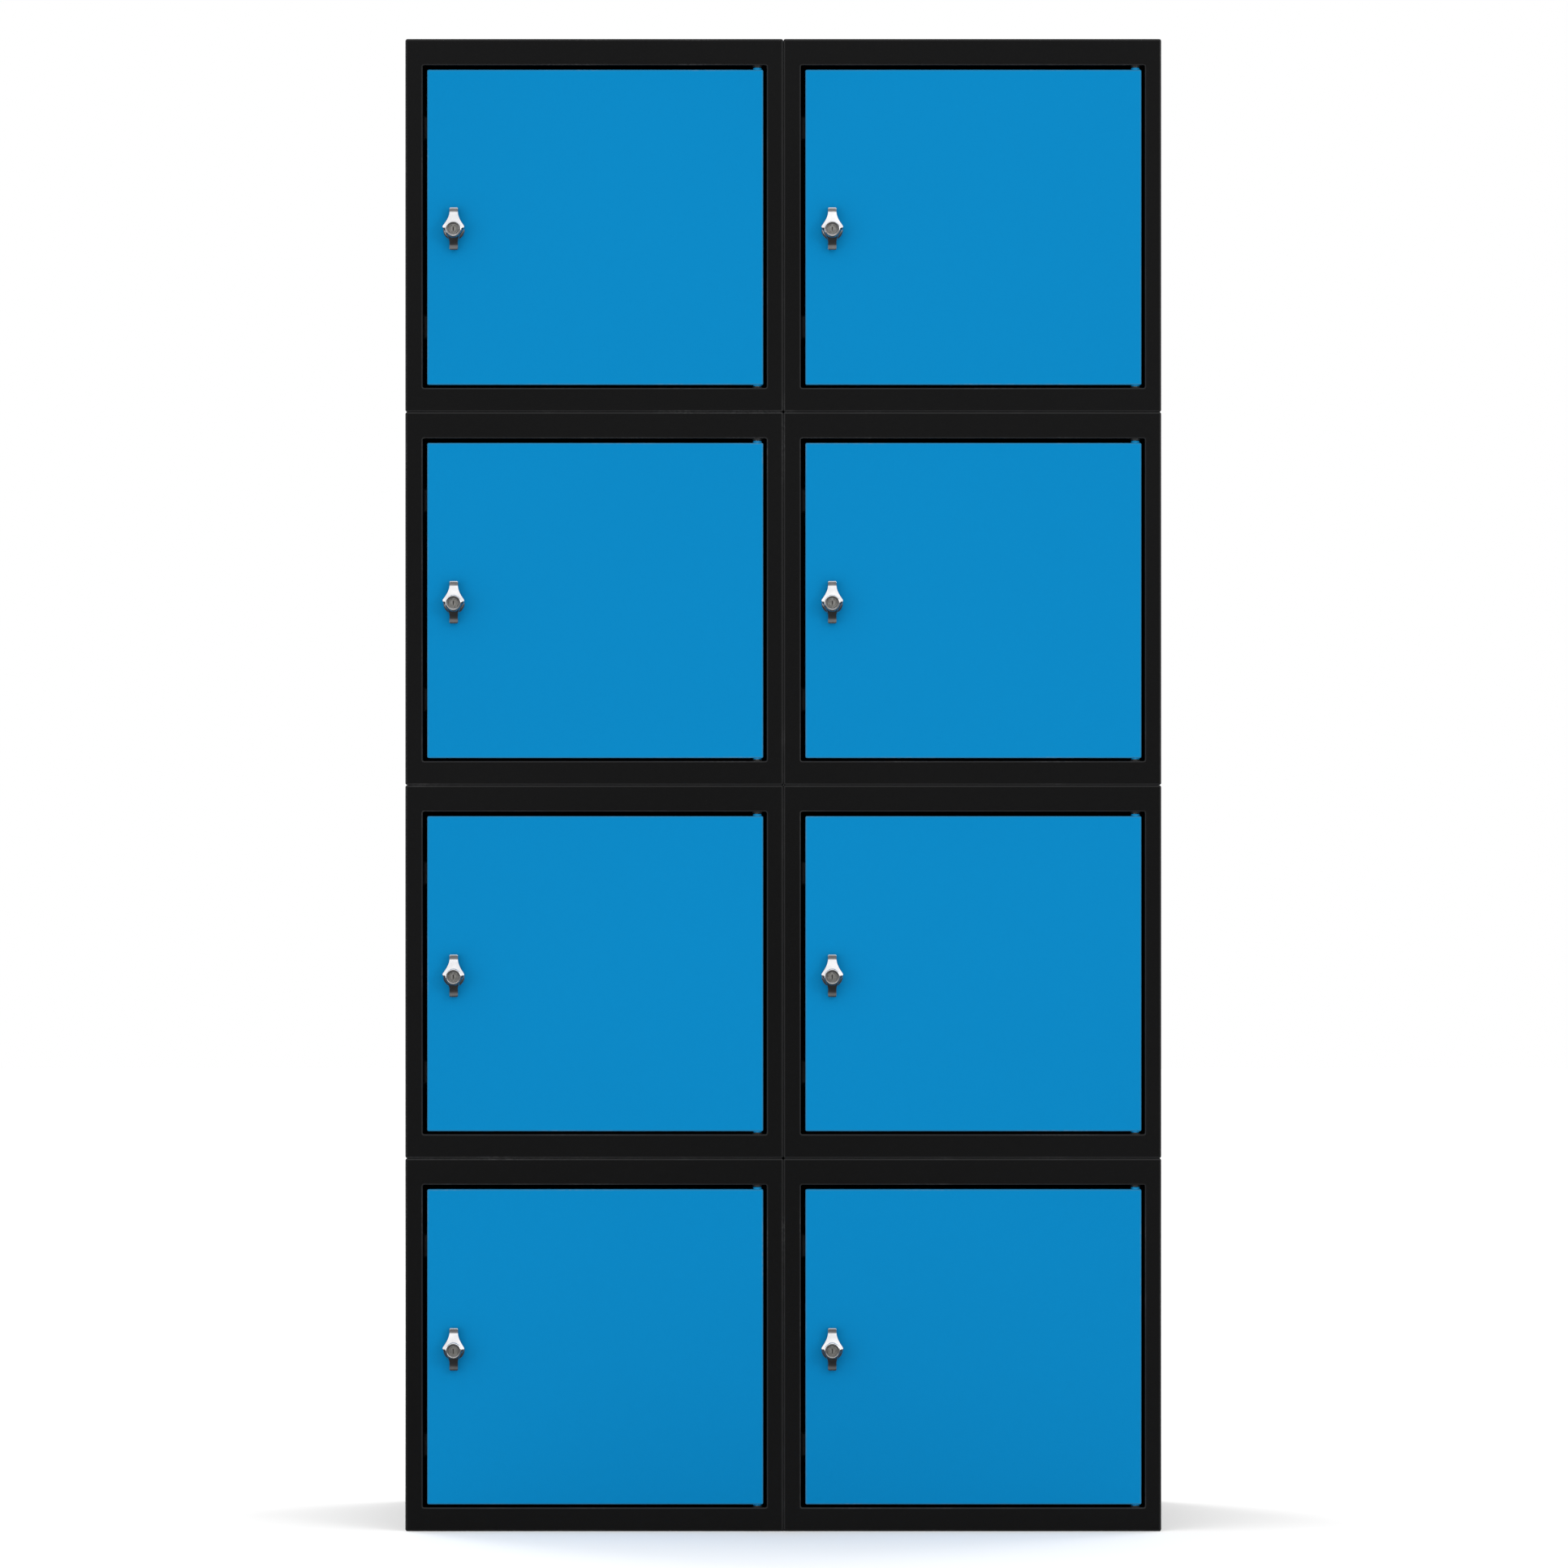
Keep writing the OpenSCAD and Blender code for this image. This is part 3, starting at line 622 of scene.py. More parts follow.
def back_panel_mesh(m):
    """The back panel in its flange, with its wall holes and the dimples of its spot welds."""
    shell = Shell()
    x0, x1, z0, z1 = m.skin
    panel = (x0 + PANEL_IN, x1 - PANEL_IN, z0 + PANEL_IN, z1 - PANEL_IN)
    outer = BACK_Y - PANEL_SUNK
    inner = BACK_Y - SHEET

    def outline(amount, y, fold):
        return [shell.vert((x, y, z), fold) for x, z in inset(panel, amount, PANEL_CORNER)]

    def circle(x, z, radius, y, steps, fold=0.0):
        turns = [FULL_TURN * k / steps for k in range(steps)]
        return [shell.vert(turned((x, y, z), "y", radius, turn, 0), fold) for turn in turns]

    rings = [outline(PANEL_EASE + WEAR_AND_HIGHLIGHT_STRIP, outer, 0)]
    rings.append(outline(PANEL_EASE, outer, PANEL_EDGE_WEAR_AND_HIGHLIGHT))
    rings.append(outline(0, outer - PANEL_EASE, PANEL_EDGE_WEAR_AND_HIGHLIGHT))
    rings.append(outline(0, inner, 0))
    shell.skin(rings)
    outside, inside = [rings[0]], [rings[-1]]
    for x in (m.x0 + WALL_HOLE_IN, m.x1 - WALL_HOLE_IN):
        z = m.z1 - WALL_HOLE_DOWN
        hole = [circle(x, z, WALL_HOLE_RADIUS, y, WALL_HOLE_STEPS) for y in (outer, inner)]
        shell.skin(hole)
        outside.append(hole[0])
        inside.append(hole[1])
    for x, z in weld_places(m):
        dimple = []
        for radius, sunk, fold in WELD_DIMPLE:
            dimple.append(circle(x, z, radius * MM, outer - sunk * MM, WELD_STEPS, fold))
        shell.skin(dimple)
        shell.face(dimple[-1])
        outside.append(dimple[0])
    fill_between(shell, outside)
    fill_between(shell, inside)
    return shell.mesh(f"back_panel_{m.number}", PANEL_CREASE)


def weld_places(m):
    """Where the back panel is spot-welded to its flange, all the way round."""
    places = []
    for k in range(WELDS_PER_SIDE):
        x = m.x0 + MODULE_W * (0.5 + k) / WELDS_PER_SIDE
        z = m.z0 + MODULE_H * (0.5 + k) / WELDS_PER_SIDE
        places += [(x, m.z0 + WELD_IN), (x, m.z1 - WELD_IN), (m.x0 + WELD_IN, z), (m.x1 - WELD_IN, z)]
    return places


def fill_between(shell, loops):
    """A flat face inside the first loop, with the other loops left open."""
    edges = []
    for loop in loops:
        for j in range(len(loop)):
            pair = (loop[j], loop[(j + 1) % len(loop)])
            edges.append(shell.bm.edges.get(pair) or shell.bm.edges.new(pair))
    bmesh.ops.triangle_fill(shell.bm, use_beauty=True, edges=edges)


def stops_mesh():
    """The bent angles behind the lock-side lips that carry the buffers."""
    shell = Shell()
    low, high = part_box("door_stops")
    buffer_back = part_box("door_buffers")[1].y
    bottom_left, top_right = MODULES[-2], MODULES[1]
    reach = high.x - top_right.opening[0]
    under = low.z - bottom_left.opening[2]
    over = top_right.opening[3] - high.z
    for m in MODULES:
        leg = m.opening[0] - 2 * SHEET
        end = m.opening[0] + reach
        outline = [
            (leg + SHEET, low.y),
            (leg + SHEET, buffer_back - STOP_CUT),
            (leg + SHEET + STOP_CUT, buffer_back),
            (end, buffer_back),
            (end, high.y),
        ]
        for a, b, _ in bend(STOP_BEND):
            outline.append((leg + b, high.y - a))
        outline.append((leg, low.y))
        for z in (m.opening[2] + under, m.opening[3] - over - STOP_TALL):
            shell.bar(outline, z, z + STOP_TALL, STOP_WEAR_AND_HIGHLIGHT)
    return shell.mesh("door_stop_angles")


# ---------------------------------------------------------------- door


def door_mesh(m):
    """A folded pan with a round hole for the lock, its stiffener and its pivot bosses."""
    shell = Shell()
    back = m.door_back - FRONT_Y

    def ring(amount, depth, fold=0.0):
        return [shell.vert((x, FRONT_Y + depth, z), fold) for x, z in inset(m.door, amount, DOOR_BEND)]

    rings = [ring(DOOR_BEND + KEEP_FLAT, 0)]
    for a, b, part in reversed(list(bend(DOOR_BEND))):
        rings.append(ring(a, b, wear_and_highlight(part)))
    rings.append(ring(0, back - WEAR_AND_HIGHLIGHT_STRIP))
    rings.append(ring(0, back, LIP_WEAR_AND_HIGHLIGHT))
    rings.append(ring(SHEET, back, LIP_WEAR_AND_HIGHLIGHT))
    rings.append(ring(SHEET, back - WEAR_AND_HIGHLIGHT_STRIP))
    for a, b, _ in bend(DOOR_BEND - SHEET, HIDDEN_BEND_STEPS):
        rings.append(ring(SHEET + a, SHEET + b))
    rings.append(ring(DOOR_BEND + KEEP_FLAT, SHEET))
    shell.skin(rings)
    turns = [FULL_TURN * k / HOLE_STEPS for k in range(HOLE_STEPS)]
    holes = []
    for depth in (0, SHEET):
        holes.append([shell.vert(turned(m.lock, "y", LOCK_HOLE_RADIUS, turn, depth)) for turn in turns])
    shell.skin(holes)
    fill_between(shell, (rings[0], holes[0]))
    fill_between(shell, (rings[-1], holes[1]))
    stiffener(shell, m)
    pivot_boss(shell, m, m.door[3], 1, COLLAR_TOP)
    pivot_boss(shell, m, m.door[2], -1, COLLAR_BOTTOM)
    return shell.mesh(f"door_{m.number}")


def stiffener(shell, m):
    """The top-hat channel welded down the middle of the door's inside."""
    middle = (m.door[0] + m.door[1]) / 2
    half, foot, deep, r, cut = 30 * MM, 11 * MM, 12 * MM, 1.2 * MM, 0.3 * MM
    front = FRONT_Y + SHEET
    web = FRONT_Y + deep
    outside = [
        (half + foot, front),
        (half + foot, front + SHEET),
        (half + r, front + SHEET),
        (half, front + SHEET + r),
        (half, web - r),
        (half - r, web),
    ]
    inside = [
        (half - SHEET - cut, web - SHEET),
        (half - SHEET, web - SHEET - cut),
        (half - SHEET, front),
    ]
    outline = [(middle + x, y) for x, y in outside]
    outline += [(middle - x, y) for x, y in reversed(outside)]
    outline += [(middle - x, y) for x, y in reversed(inside)]
    outline += [(middle + x, y) for x, y in inside]
    shell.bar(outline, m.door[2] + SHEET, m.door[3] - SHEET, STIFFENER_WEAR_AND_HIGHLIGHT)


def pivot_boss(shell, m, edge, way, collar):
    """The collar that shows past the door's edge, and the boss inside that holds the pin."""
    bore, out, wide, deep, chamfer = 2.56 * MM, 4.36 * MM, 4.9 * MM, 9 * MM, 0.3 * MM
    crown = min(1.2 * MM, 0.6 * collar)
    profile = [
        (bore, way * collar),
        (out - crown, way * collar),
        (out - 0.5 * crown, way * (collar - 0.13 * crown)),
        (out - 0.13 * crown, way * (collar - 0.5 * crown)),
        (out, way * (collar - crown)),
        (out, -way * SHEET / 2),
        (wide, -way * SHEET),
        (wide, -way * (deep - chamfer)),
        (wide - chamfer, -way * deep),
        (bore, -way * deep),
    ]
    shell.lathe(profile, (m.pivot.x, m.pivot.y, edge), "z", HOLE_STEPS, BOSS_WEAR_AND_HIGHLIGHT)


# ---------------------------------------------------------------- wing knob and key plug


def knob_half_width(z):
    """Half the knob's width at that height: narrow wings that flare out to the shoulders."""
    away = math.hypot(z - SHOULDER_Z, SHOULDER_ROUND) - SHOULDER_ROUND
    flare = max(1 - away / (WING_TIP_IN - SHOULDER_ROUND), 0) ** FLARE_POWER
    return WING_HALF + (SHOULDER - WING_HALF) * flare


def knob_outline():
    """The knob seen from the front, anticlockwise from its right shoulder: (x, z) points."""
    steps, end_steps = 64, 6
    side = []
    for k in range(steps + 1):
        z = -WING_DOWN + TIP_ROUND + (WING_UP + WING_DOWN - 2 * TIP_ROUND) * k / steps
        side.append((knob_half_width(z), z))
    end = []
    for k in range(1, end_steps):
        turn = QUARTER_TURN * k / end_steps
        end.append((WING_HALF - TIP_ROUND * (1 - math.cos(turn)), WING_UP - TIP_ROUND * (1 - math.sin(turn))))
    low_end = [(x, WING_UP - WING_DOWN - z) for x, z in reversed(end)]
    right = low_end + side + end
    across = (WING_HALF - TIP_ROUND, WING_HALF / 3, 0, -WING_HALF / 3, TIP_ROUND - WING_HALF)
    top = [(x, WING_UP) for x in across]
    bottom = [(-x, -WING_DOWN) for x, _ in top]
    return right + top + [(-x, z) for x, z in reversed(right)] + bottom


def knob_height(z):
    """How far the knob's wings stand out of the door at that height: flat tips, then a slope to the ridge."""
    slope = (RIDGE_OUT - TIP_OUT) / (WING_TIP_IN - SLOPE_IN)
    fall = RIDGE_OUT + RIDGE_OVER - slope * math.hypot(z - SHOULDER_Z / 2, RIDGE_ROUND)
    return TIP_OUT + TIP_BLEND * math.log1p(math.exp((fall - TIP_OUT) / TIP_BLEND))


def knob_mesh():
    """The cast wing knob at the origin: wings falling away from the round face, its collar and shaft."""
    shell = Shell()
    spokes = [(x, z, math.hypot(x, z)) for x, z in knob_outline()]

    def edge_ring(amount, depth):
        """The outline drawn in by that amount, that far under the wings' surface."""
        made = []
        for x, z, r in spokes:
            k = (r - amount) / r
            made.append(shell.vert((x * k, -(knob_height(z * k) - depth), z * k)))
        return made

    def slope_ring(part):
        """A ring on the wings' surface, that part of the way from the outline to the round face."""
        made = []
        for x, z, r in spokes:
            edge = r - EDGE_ROUND
            here = edge + (foot - edge) * part / slope_steps
            made.append(shell.vert((x * here / r, -knob_height(z * here / r), z * here / r)))
        return made

    def foot_ring(radius, rise):
        """A round ring that far above the wings' surface."""
        made = []
        for x, z, r in spokes:
            px, pz = x * radius / r, z * radius / r
            made.append(shell.vert((px, -(knob_height(pz) + rise), pz)))
        return made

    def flat_ring(radius, out):
        """A round ring at that distance out of the door."""
        return [shell.vert((x * radius / r, -out, z * radius / r)) for x, z, r in spokes]

    foot = FACE_RADIUS + 0.5 * MM
    slope_steps = 10
    rings = [[shell.vert((x, -WING_BACK, z)) for x, z, _ in spokes]]
    for drawn_in, sunk, _ in bend(EDGE_ROUND, 4):
        rings.append(edge_ring(drawn_in, sunk))
    for k in range(1, slope_steps):
        rings.append(slope_ring(k))
    rings.append(foot_ring(foot, 0))
    rings.append(foot_ring(FACE_RADIUS + 0.12 * MM, 0.15 * MM))
    rings.append(foot_ring(FACE_RADIUS, 0.5 * MM))
    # the round face and its bore, as (radius, millimetres out)
    bore = PLUG_RADIUS + PLUG_GAP
    face = [
        (FACE_RADIUS, 19.3),
        (FACE_RADIUS - 0.2 * MM, 19.75),
        (FACE_RADIUS - 0.6 * MM, 19.95),
        (7.2 * MM, 20.0),
        (6.6 * MM, 19.9),
        (6.3 * MM, 19.6),
        (bore + 0.35 * MM, 19.5),
        (bore, 19.1),
        (bore, 4.0),
    ]
    for radius, out in face:
        rings.append(flat_ring(radius, out * MM))
    shell.skin(rings)
    shell.face(rings[0][::-1])
    shell.face(rings[-1])
    # the collar that turns against the door, then the shaft, as (radius, distance in) in millimetres
    collar = [(0, -0.3), (10.7, -0.3), (11.0, -0.5), (11.0, -1.65)]
    collar += [(10.8, -2.0), (9.6, -3.2), (9.3, -3.3), (0, -3.3)]
    shell.lathe([(r * MM, y * MM) for r, y in collar], (0, 0, 0), "y", 64)
    shaft = [(0, -0.5), (6.5, -0.5), (6.5, 16.6), (6.1, 17.0)]
    shaft += [(4.5, 17.0), (4.5, 27.6), (4.1, 28.0), (0, 28.0)]
    shell.lathe([(r * MM, y * MM) for r, y in shaft], (0, 0, 0), "y", 40)
    return shell.mesh("knob_prototype", KNOB_CREASE)


def cut_by(body, tool, operation):
    """Cuts the body by the tool, or keeps what they share, as the operation says."""
    cut = body.modifiers.new("cut", "BOOLEAN")
    cut.operation = operation
    cut.solver = "EXACT"
    cut.object = tool


def carve(base, cutters, name, ease=0.0):
    """A mesh with other meshes cut out of it, and its edges eased by that width if asked."""
    body = placed(name, base)
    tools = [placed(f"{name}_cutter_{k}", mesh) for k, mesh in enumerate(cutters)]
    for tool in tools:
        cut_by(body, tool, "DIFFERENCE")
    if ease:
        easing = body.modifiers.new("ease", "BEVEL")
        easing.width = ease
        easing.segments = 2
        easing.limit_method = "ANGLE"
        easing.angle_limit = math.radians(40)
        easing.use_clamp_overlap = True
    made = settled(body, name)
    for tool in tools:
        bpy.data.objects.remove(tool)
    return made


def settled(body, name):
    """The plain mesh that an object's modifiers make. The object is taken away."""
    graph = bpy.context.evaluated_depsgraph_get()
    graph.update()
    made = bpy.data.meshes.new_from_object(body.evaluated_get(graph))
    made.name = name
    bpy.data.objects.remove(body)
    bm = bmesh.new()
    bm.from_mesh(made)
    bmesh.ops.dissolve_degenerate(bm, dist=2e-6, edges=bm.edges)
    bm.to_mesh(made)
    bm.free()
    return shade(made)


def turned_mesh(profile, axis="y", steps=48):
    """A turned piece round an axis through the origin, its profile in millimetres."""
    shell = Shell()
    shell.lathe([(r * MM, a * MM) for r, a in profile], (0, 0, 0), axis, steps)
    return shell.mesh("turned")


def block_mesh(low, high, round_off=0.0):
    """A box between two corners, its edges rounded off, all in millimetres."""
    shell = Shell()
    shell.block([v * MM for v in low], [v * MM for v in high], round_off * MM)
    return shell.mesh("block")


def plug_mesh():
    """The key plug at the origin: a ring groove with two bridges, and a keyway."""
    r = PLUG_RADIUS / MM
    body = turned_mesh([(0, -19.8), (r - 0.25, -19.8), (r, -19.5), (r, 7.8), (r - 0.3, 8.0), (0, 8.0)])
    groove = turned_mesh([(3.0, -21), (4.55, -21), (4.55, -18.3), (3.0, -18.3)])
    bridge_up = block_mesh((-0.85, -22, 1), (0.85, -17, 6))
    bridge_down = block_mesh((-0.6, -22, -6), (0.6, -17, -1))
    groove = carve(groove, [bridge_up, bridge_down], "groove")
    keyway = block_mesh((-0.55, -22, -2.3), (0.55, -12, 2.3), 0.2)
    return carve(body, [groove, keyway], "plug_prototype")


# ---------------------------------------------------------------- coin case


def case_sizes():
    """The coin case's box in the lock's own frame, in millimetres."""
    low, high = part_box("coin_case_1")
    lock = MODULES[0].lock
    return (low - lock) / MM, (high - lock) / MM


def tub_mesh(low, high):
    """The moulded tub behind the door, open at the back, with the way out for the cam."""
    wall = CASE_WALL
    body = block_mesh((low.x, 1.0, low.z), (high.x, COVER_Y - 0.1, high.z), 2.2)
    hollow = block_mesh((low.x + wall, 3.0, low.z + wall), (high.x - wall, COVER_Y + 5, high.z - wall), 1.0)
    cam_way = block_mesh((low.x - 2, 16.0, -45.0), (low.x + wall + 1, 20.5, 10.5), 1.0)
    coin_slot = block_mesh((0.0, 33.0, high.z - 4), (24.0, 36.4, high.z + 3), 1.2)
    bore = turned_mesh([(0, -1), (NECK_BORE, -1), (NECK_BORE, 6), (0, 6)])
    return carve(body, [hollow, cam_way, coin_slot, bore], "tub", 0.35 * MM)


def neck_mesh():
    """The neck that the knob's shaft turns in."""
    bore = NECK_BORE
    return turned_mesh([(bore, 0.0), (9.0, 0.0), (9.16, 0.3), (9.16, 15.6), (8.8, 16.0), (bore, 16.0)])


def cover_meshes(low, high):
    """The cover with its return mouth, its cup and a raised rim."""
    wall = CASE_WALL
    back = COVER_Y + wall
    left, right = CUP_X
    mouth_left, mouth_right, mouth_floor = left + wall, right - wall, CUP_FLOOR + wall
    plate = block_mesh((low.x, COVER_Y, low.z), (high.x, back, high.z), 0.8)
    mouth = block_mesh((mouth_left, COVER_Y - 3, mouth_floor), (mouth_right, COVER_Y + 5, -44.0), 1.0)
    plate = carve(plate, [mouth], "cover_plate", 0.3 * MM)
    cup = block_mesh((left, back - 0.2, CUP_FLOOR), (right, high.y, -50.0), 2.5)
    bowl = block_mesh((mouth_left, COVER_Y - 1, mouth_floor), (mouth_right, high.y - wall, -40.0), 1.8)
    cup = carve(cup, [bowl], "cup", 0.3 * MM)
    rim = block_mesh((low.x + 5, back - 0.3, -34.0), (high.x - 5, back + 0.7, high.z - 6), 0.45)
    panel = block_mesh((low.x + 7, back - 1, -32.0), (high.x - 7, back + 2, high.z - 8), 0.3)
    rim = carve(rim, [panel], "rim")
    return [plate, cup, rim]


def joined(meshes, name):
    """Several meshes as one."""
    bm = bmesh.new()
    for mesh in meshes:
        bm.from_mesh(mesh)
    made = bpy.data.meshes.new(name)
    bm.to_mesh(made)
    bm.free()
    return shade(made)


# ---------------------------------------------------------------- hardware set out by geometry nodes


def hardware_tree():
    """A tree that sets a prototype on each point, along the point's own direction, spun at random."""
    tree = bpy.data.node_groups.new("set_out_hardware", "GeometryNodeTree")
    face = tree.interface
    face.new_socket("Points", in_out="INPUT", socket_type="NodeSocketGeometry")
    face.new_socket("Prototype", in_out="INPUT", socket_type="NodeSocketObject")
    face.new_socket("Size", in_out="INPUT", socket_type="NodeSocketFloat").default_value = 1.0
    face.new_socket("Spin", in_out="INPUT", socket_type="NodeSocketFloat").default_value = FULL_TURN
    face.new_socket("Seed", in_out="INPUT", socket_type="NodeSocketInt").default_value = 7
    face.new_socket("Finish", in_out="INPUT", socket_type="NodeSocketMaterial")
    face.new_socket("Hardware", in_out="OUTPUT", socket_type="NodeSocketGeometry")
    nodes, links = tree.nodes, tree.links
    into, out = nodes.new("NodeGroupInput"), nodes.new("NodeGroupOutput")
    aim = nodes.new("GeometryNodeInputNamedAttribute")
    aim.data_type = "FLOAT_VECTOR"
    aim.inputs["Name"].default_value = "aim"
    turn = nodes.new("FunctionNodeAlignRotationToVector")
    turn.axis = "Z"
    links.new(aim.outputs["Attribute"], turn.inputs["Vector"])
    spin = nodes.new("FunctionNodeRandomValue")
    spin.data_type = "FLOAT"
    links.new(into.outputs["Spin"], spin.inputs[3])
    links.new(into.outputs["Seed"], spin.inputs["Seed"])
    own = nodes.new("ShaderNodeCombineXYZ")
    links.new(spin.outputs[1], own.inputs["Z"])
    made = nodes.new("FunctionNodeEulerToRotation")
    links.new(own.outputs["Vector"], made.inputs["Euler"])
    both = nodes.new("FunctionNodeRotateRotation")
    both.rotation_space = "LOCAL"
    links.new(turn.outputs["Rotation"], both.inputs["Rotation"])
    links.new(made.outputs["Rotation"], both.inputs["Rotate By"])
    what = nodes.new("GeometryNodeObjectInfo")
    links.new(into.outputs["Prototype"], what.inputs["Object"])
    put = nodes.new("GeometryNodeInstanceOnPoints")
    links.new(into.outputs["Points"], put.inputs["Points"])
    links.new(what.outputs["Geometry"], put.inputs["Instance"])
    links.new(both.outputs["Rotation"], put.inputs["Rotation"])
    links.new(into.outputs["Size"], put.inputs["Scale"])
    real = nodes.new("GeometryNodeRealizeInstances")
    links.new(put.outputs["Instances"], real.inputs["Geometry"])
    paint = nodes.new("GeometryNodeSetMaterial")
    links.new(real.outputs["Geometry"], paint.inputs["Geometry"])
    links.new(into.outputs["Finish"], paint.inputs["Material"])
    links.new(paint.outputs["Geometry"], out.inputs["Hardware"])
    return tree


def set_out(name, prototype, places, finish, body, seed, replaced=()):
    """Hardware at each (place, direction), baked to one plain mesh on its body."""
    points = bpy.data.meshes.new(name + "_points")
    points.from_pydata([tuple(p) for p, _ in places], [], [])
    aim = points.attributes.new("aim", "FLOAT_VECTOR", "POINT")
    aim.data.foreach_set("vector", [c for _, d in places for c in d])
    holder = placed(name + "_holder", points)
    sample = placed(name + "_sample", prototype)
    setting = holder.modifiers.new("set_out", "NODES")
    setting.node_group = HARDWARE
    values = {"Prototype": sample, "Size": 1.0, "Spin": FULL_TURN, "Seed": seed, "Finish": FINISHES[finish]}
    for socket in HARDWARE.interface.items_tree:
        if socket.in_out == "INPUT" and socket.name in values:
            setting[socket.identifier] = values[socket.name]
    made = settled(holder, name)
    bpy.data.objects.remove(sample)
    show(name, made, body, finish, replaced)


def hex_body(low, high):
    """A hexagon for an M6 spanner, with both ends chamfered by a cone, in millimetres."""
    flat = HEX_ACROSS / 2
    corner = flat / math.cos(math.pi / 6)
    turns = [math.pi / 3 * k for k in range(6)]
    shell = Shell()
    outline = [(corner * math.cos(turn) * MM, corner * math.sin(turn) * MM) for turn in turns]
    shell.bar(outline, low * MM, high * MM)
    cone = [(0, low - 0.01), (flat - 0.1, low - 0.01), (corner + 0.1, low + 0.6)]
    cone += [(corner + 0.1, high - 0.6), (flat - 0.1, high + 0.01), (0, high + 0.01)]
    body = placed("hex", shell.mesh("hex"))
    tool = placed("cone", turned_mesh(cone, "z", 36))
    cut_by(body, tool, "INTERSECT")
    made = settled(body, "hex")
    bpy.data.objects.remove(tool)
    return made


def bolt_mesh():
    """M6 joining bolt, its head at z = 0 and its shank along +Z."""
    shank = turned_mesh([(0, -0.1), (3.0, -0.1), (3.0, 8.6), (2.5, 9.1), (0, 9.1)], "z", 24)
    return joined([hex_body(-4.0, 0.0), shank], "bolt")


def nut_mesh():
    """M6 nut, its face at z = 0 and its body along +Z."""
    bore = turned_mesh([(0, -1), (3.03, -1), (3.03, 6), (0, 6)], "z", 24)
    return carve(hex_body(0.0, 5.0), [bore], "nut")


def screw_mesh():
    """A pan-head screw with a cross recess."""
    head = turned_mesh([(0, 1.9), (1.4, 1.8), (2.4, 1.3), (2.9, 0.6), (3.0, 0.0), (0, 0.0)], "z", 24)
    one = block_mesh((-1.7, -0.35, 0.7), (1.7, 0.35, 3))
    two = block_mesh((-0.35, -1.7, 0.7), (0.35, 1.7, 3))
    return carve(head, [one, two], "screw")


# ---------------------------------------------------------------- making the locker

MODULES = [Module(n) for n in DOORS]
HARDWARE = hardware_tree()
CARCASS_NODES = ("side_panels_left", "side_panels_right", "top_panels", "base_panels")

for m in MODULES:
    show(f"module_shell_{m.number}", carcass_mesh(m), "root", "carcass_paint", CARCASS_NODES)
    show(f"back_panel_{m.number}", back_panel_mesh(m), "root", "carcass_paint", ["back_panels"])
    show(f"door_{m.number}", door_mesh(m), f"door_{m.number}", "door_paint", [f"door_leaf_{m.number}"])

show("door_stop_angles", stops_mesh(), "root", "carcass_paint", ["door_stops"])
case_low, case_high = case_sizes()
case_parts = [tub_mesh(case_low, case_high), neck_mesh()] + cover_meshes(case_low, case_high)
LOCK_PIECES = (  # piece, mesh, the body it rides on, finish, the node it replaces
    ("knob", knob_mesh(), "knob", "knob_chrome", "wing_knob"),
    ("plug", plug_mesh(), "plug", "plug_steel", "key_plug"),
    ("case", joined(case_parts, "case_prototype"), "door", "case_plastic", "coin_case"),
)
screw_prototype = screw_mesh()
for m in MODULES:
    n = m.number
    for piece, mesh, body, finish, node in LOCK_PIECES:
        name = f"{piece}_{n}"
        show(name, copied(mesh, name, m.lock), f"{body}_{n}", finish, [f"{node}_{n}"])
    corners = []
    for x in (case_low.x + 4, case_high.x - 4):
        for z in (case_low.z + 16, case_high.z - 4):
            corners.append((m.lock + Vector((x, COVER_Y + 1.9, z)) * MM, (0, 1, 0)))
    set_out(f"cover_screws_{n}", screw_prototype, corners, "zinc_steel", f"door_{n}", n)

# each bolt goes through one module's sheet and its neighbour's, with its nut on the far side
bolt_places, nut_places = [], []
through = 2 * SHEET + SEAM
for m in MODULES:
    ys = (FRONT_Y + BOLT_IN, BACK_Y - BOLT_IN)
    if m.x1 < RIGHT_PANELS[1].x - SEAM:
        for y in ys:
            for z in (m.z0 + BOLT_IN, m.z1 - BOLT_IN):
                start = Vector((m.x1 - SHEET, y, z))
                bolt_places.append((start, (1, 0, 0)))
                nut_places.append((start + Vector((through, 0, 0)), (1, 0, 0)))
    if m.z0 > LEFT_PANELS[0].z + SEAM:
        for x in (m.x0 + BOLT_IN, m.x1 - BOLT_IN):
            for y in ys:
                start = Vector((x, y, m.z0 + SHEET))
                bolt_places.append((start, (0, 0, -1)))
                nut_places.append((start - Vector((0, 0, through)), (0, 0, -1)))
set_out("joining_bolts_hex", bolt_mesh(), bolt_places, "zinc_steel", "root", 7, ["joining_bolts"])
set_out("joining_nuts_hex", nut_mesh(), nut_places, "zinc_steel", "root", 11, ["joining_nuts"])

# the CAD nodes that still show take their finishes from the record
for node, obj in frame["nodes"].items():
    if obj.hide_render:
        continue
    slot = next(s["material_slot"] for s in frame["record"]["subparts"] if s["node"] == node)
    obj.data.materials.clear()
    obj.data.materials.append(FINISHES[slot])


# ---------------------------------------------------------------- stage, light and camera


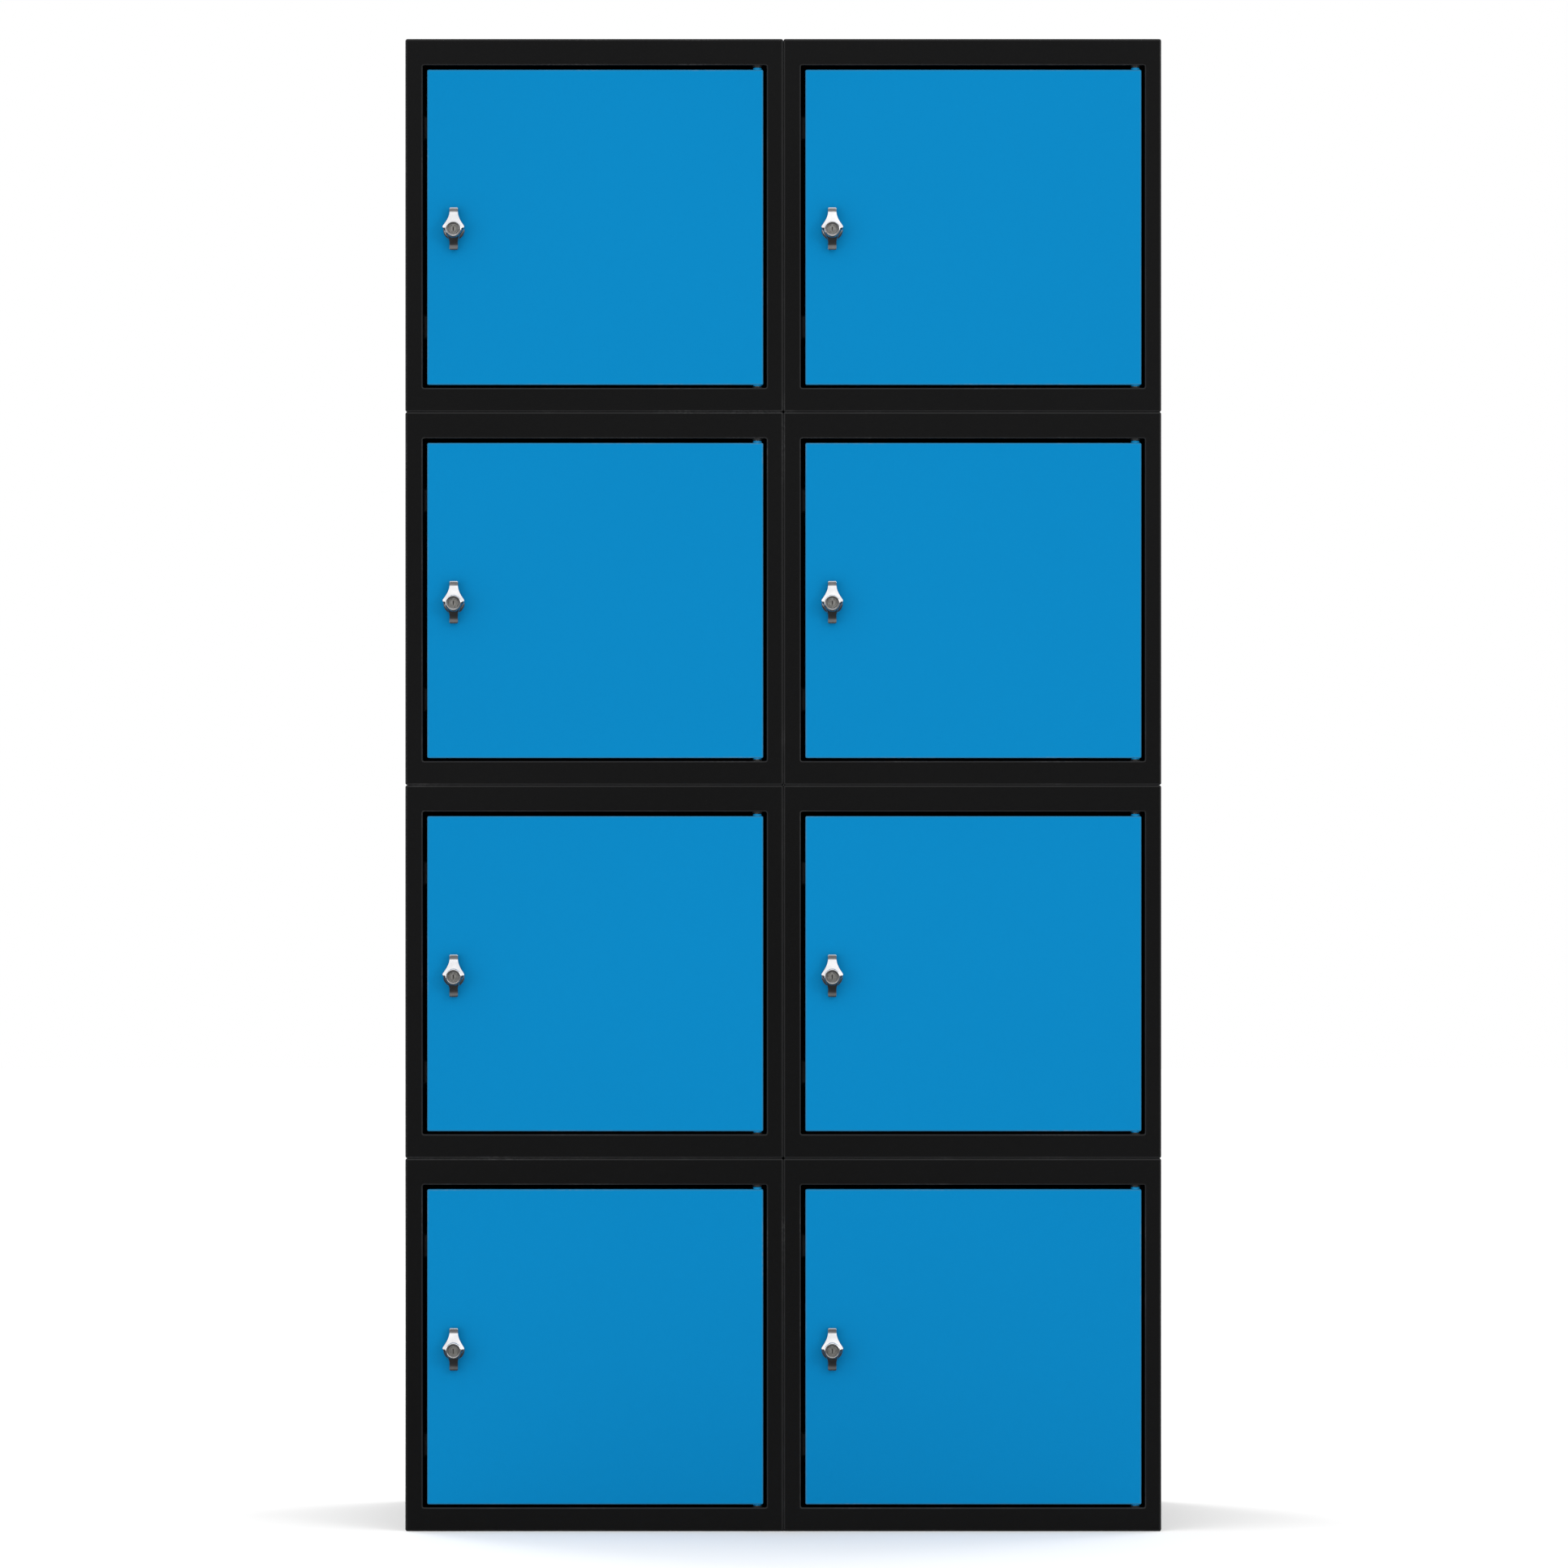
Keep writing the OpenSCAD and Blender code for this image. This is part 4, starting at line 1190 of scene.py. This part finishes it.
WHITE_ROOM = 1.2
SKY = ((0.0, 0.03), (0.40, 0.05), (0.50, 0.20), (0.60, 0.30), (0.70, 1.35), (1.0, 1.25))  # height, brightness
LENS = 200
SENSOR = 36
VIEW_MARGIN = 1.05057
CAMERA_RIGHT = 0.7 * MM
CAMERA_UP = 1.1 * MM
LOCKER_MIDDLE = (0, 0, 0.75)
LIGHTS = (  # name, place, what it is aimed at, size, watts
    ("key", (3.6, -4.6, 2.2), LOCKER_MIDDLE, (1.6, 1.6), 40),
    ("fill", (-3.4, -3.8, 0.9), (0, 0, 0.5), (2.4, 1.6), 16),
    ("back_left", (-3.2, 4.2, 3.0), LOCKER_MIDDLE, (2.0, 2.0), 90),
    ("back_right", (3.6, 3.4, 2.2), LOCKER_MIDDLE, (2.0, 2.0), 50),
)


def floor():
    """A wide pale floor that doesn't show in the chrome."""
    bm = bmesh.new()
    bmesh.ops.create_grid(bm, x_segments=4, y_segments=4, size=14)
    mesh = bpy.data.meshes.new("floor")
    bm.to_mesh(mesh)
    bm.free()
    n = Nodes("pale floor")
    n.set(Roughness=0.9, Specular_IOR_Level=0.0)
    base = n.mix(n.ramp(n.noise(1.5, 2), 0.3, 0.7), (0.95, 0.95, 0.95), (0.93, 0.93, 0.93))
    mesh.materials.append(n.finish(colour=base))
    made = placed("floor", mesh)
    made.visible_glossy = False


def softbox(name, place, target, size, power):
    """A rectangular light at a place, aimed at a target."""
    light = bpy.data.lights.new(name, "AREA")
    light.shape = "RECTANGLE"
    light.size, light.size_y = size
    light.energy = power
    made = placed(name, light)
    made.location = place
    made.rotation_euler = (Vector(target) - Vector(place)).to_track_quat("-Z", "Y").to_euler()


def surroundings():
    """A white studio to look at and to light by; reflections see a dim room with a bright ceiling."""
    world = bpy.data.worlds.new("studio")
    bpy.context.scene.world = world
    world.use_nodes = True
    tree = world.node_tree
    tree.nodes.clear()
    out = tree.nodes.new("ShaderNodeOutputWorld")

    def background(strength):
        node = tree.nodes.new("ShaderNodeBackground")
        node.inputs["Color"].default_value = (1, 1, 1, 1)
        node.inputs["Strength"].default_value = strength
        return node

    seen, soft, mirrored = background(1.0), background(WHITE_ROOM), background(1.0)
    place = tree.nodes.new("ShaderNodeTexCoord")
    split = tree.nodes.new("ShaderNodeSeparateXYZ")
    tree.links.new(place.outputs["Generated"], split.inputs["Vector"])
    sky = tree.nodes.new("ShaderNodeValToRGB")
    while len(sky.color_ramp.elements) < len(SKY):
        sky.color_ramp.elements.new(0.5)
    for element, (at, value) in zip(sky.color_ramp.elements, SKY):
        element.position = at
        element.color = (value, value, value, 1)
    level = tree.nodes.new("ShaderNodeMapRange")
    level.inputs["From Min"].default_value = -1
    tree.links.new(split.outputs["Z"], level.inputs["Value"])
    tree.links.new(level.outputs["Result"], sky.inputs["Fac"])
    tree.links.new(sky.outputs["Color"], mirrored.inputs["Color"])
    path = tree.nodes.new("ShaderNodeLightPath")
    pick_soft = tree.nodes.new("ShaderNodeMixShader")
    tree.links.new(path.outputs["Is Diffuse Ray"], pick_soft.inputs["Fac"])
    tree.links.new(mirrored.outputs["Background"], pick_soft.inputs[1])
    tree.links.new(soft.outputs["Background"], pick_soft.inputs[2])
    pick_seen = tree.nodes.new("ShaderNodeMixShader")
    tree.links.new(path.outputs["Is Camera Ray"], pick_seen.inputs["Fac"])
    tree.links.new(pick_soft.outputs["Shader"], pick_seen.inputs[1])
    tree.links.new(seen.outputs["Background"], pick_seen.inputs[2])
    tree.links.new(pick_seen.outputs["Shader"], out.inputs["Surface"])


def camera():
    """A long lens square to the front, at the locker's middle."""
    low, high = CAD_BOX
    data = bpy.data.cameras.new("camera")
    data.lens = LENS
    data.sensor_width = SENSOR
    data.clip_end = 100
    away = (high.z - low.z) * VIEW_MARGIN * LENS / SENSOR
    made = placed("camera", data)
    made.location = (CAMERA_RIGHT, FRONT_Y - away, (low.z + high.z) / 2 + CAMERA_UP)
    made.rotation_euler = (QUARTER_TURN, 0, 0)
    bpy.context.scene.camera = made


floor()
surroundings()
camera()
for light in LIGHTS:
    softbox(*light)
bpy.context.scene.view_settings.view_transform = "Standard"
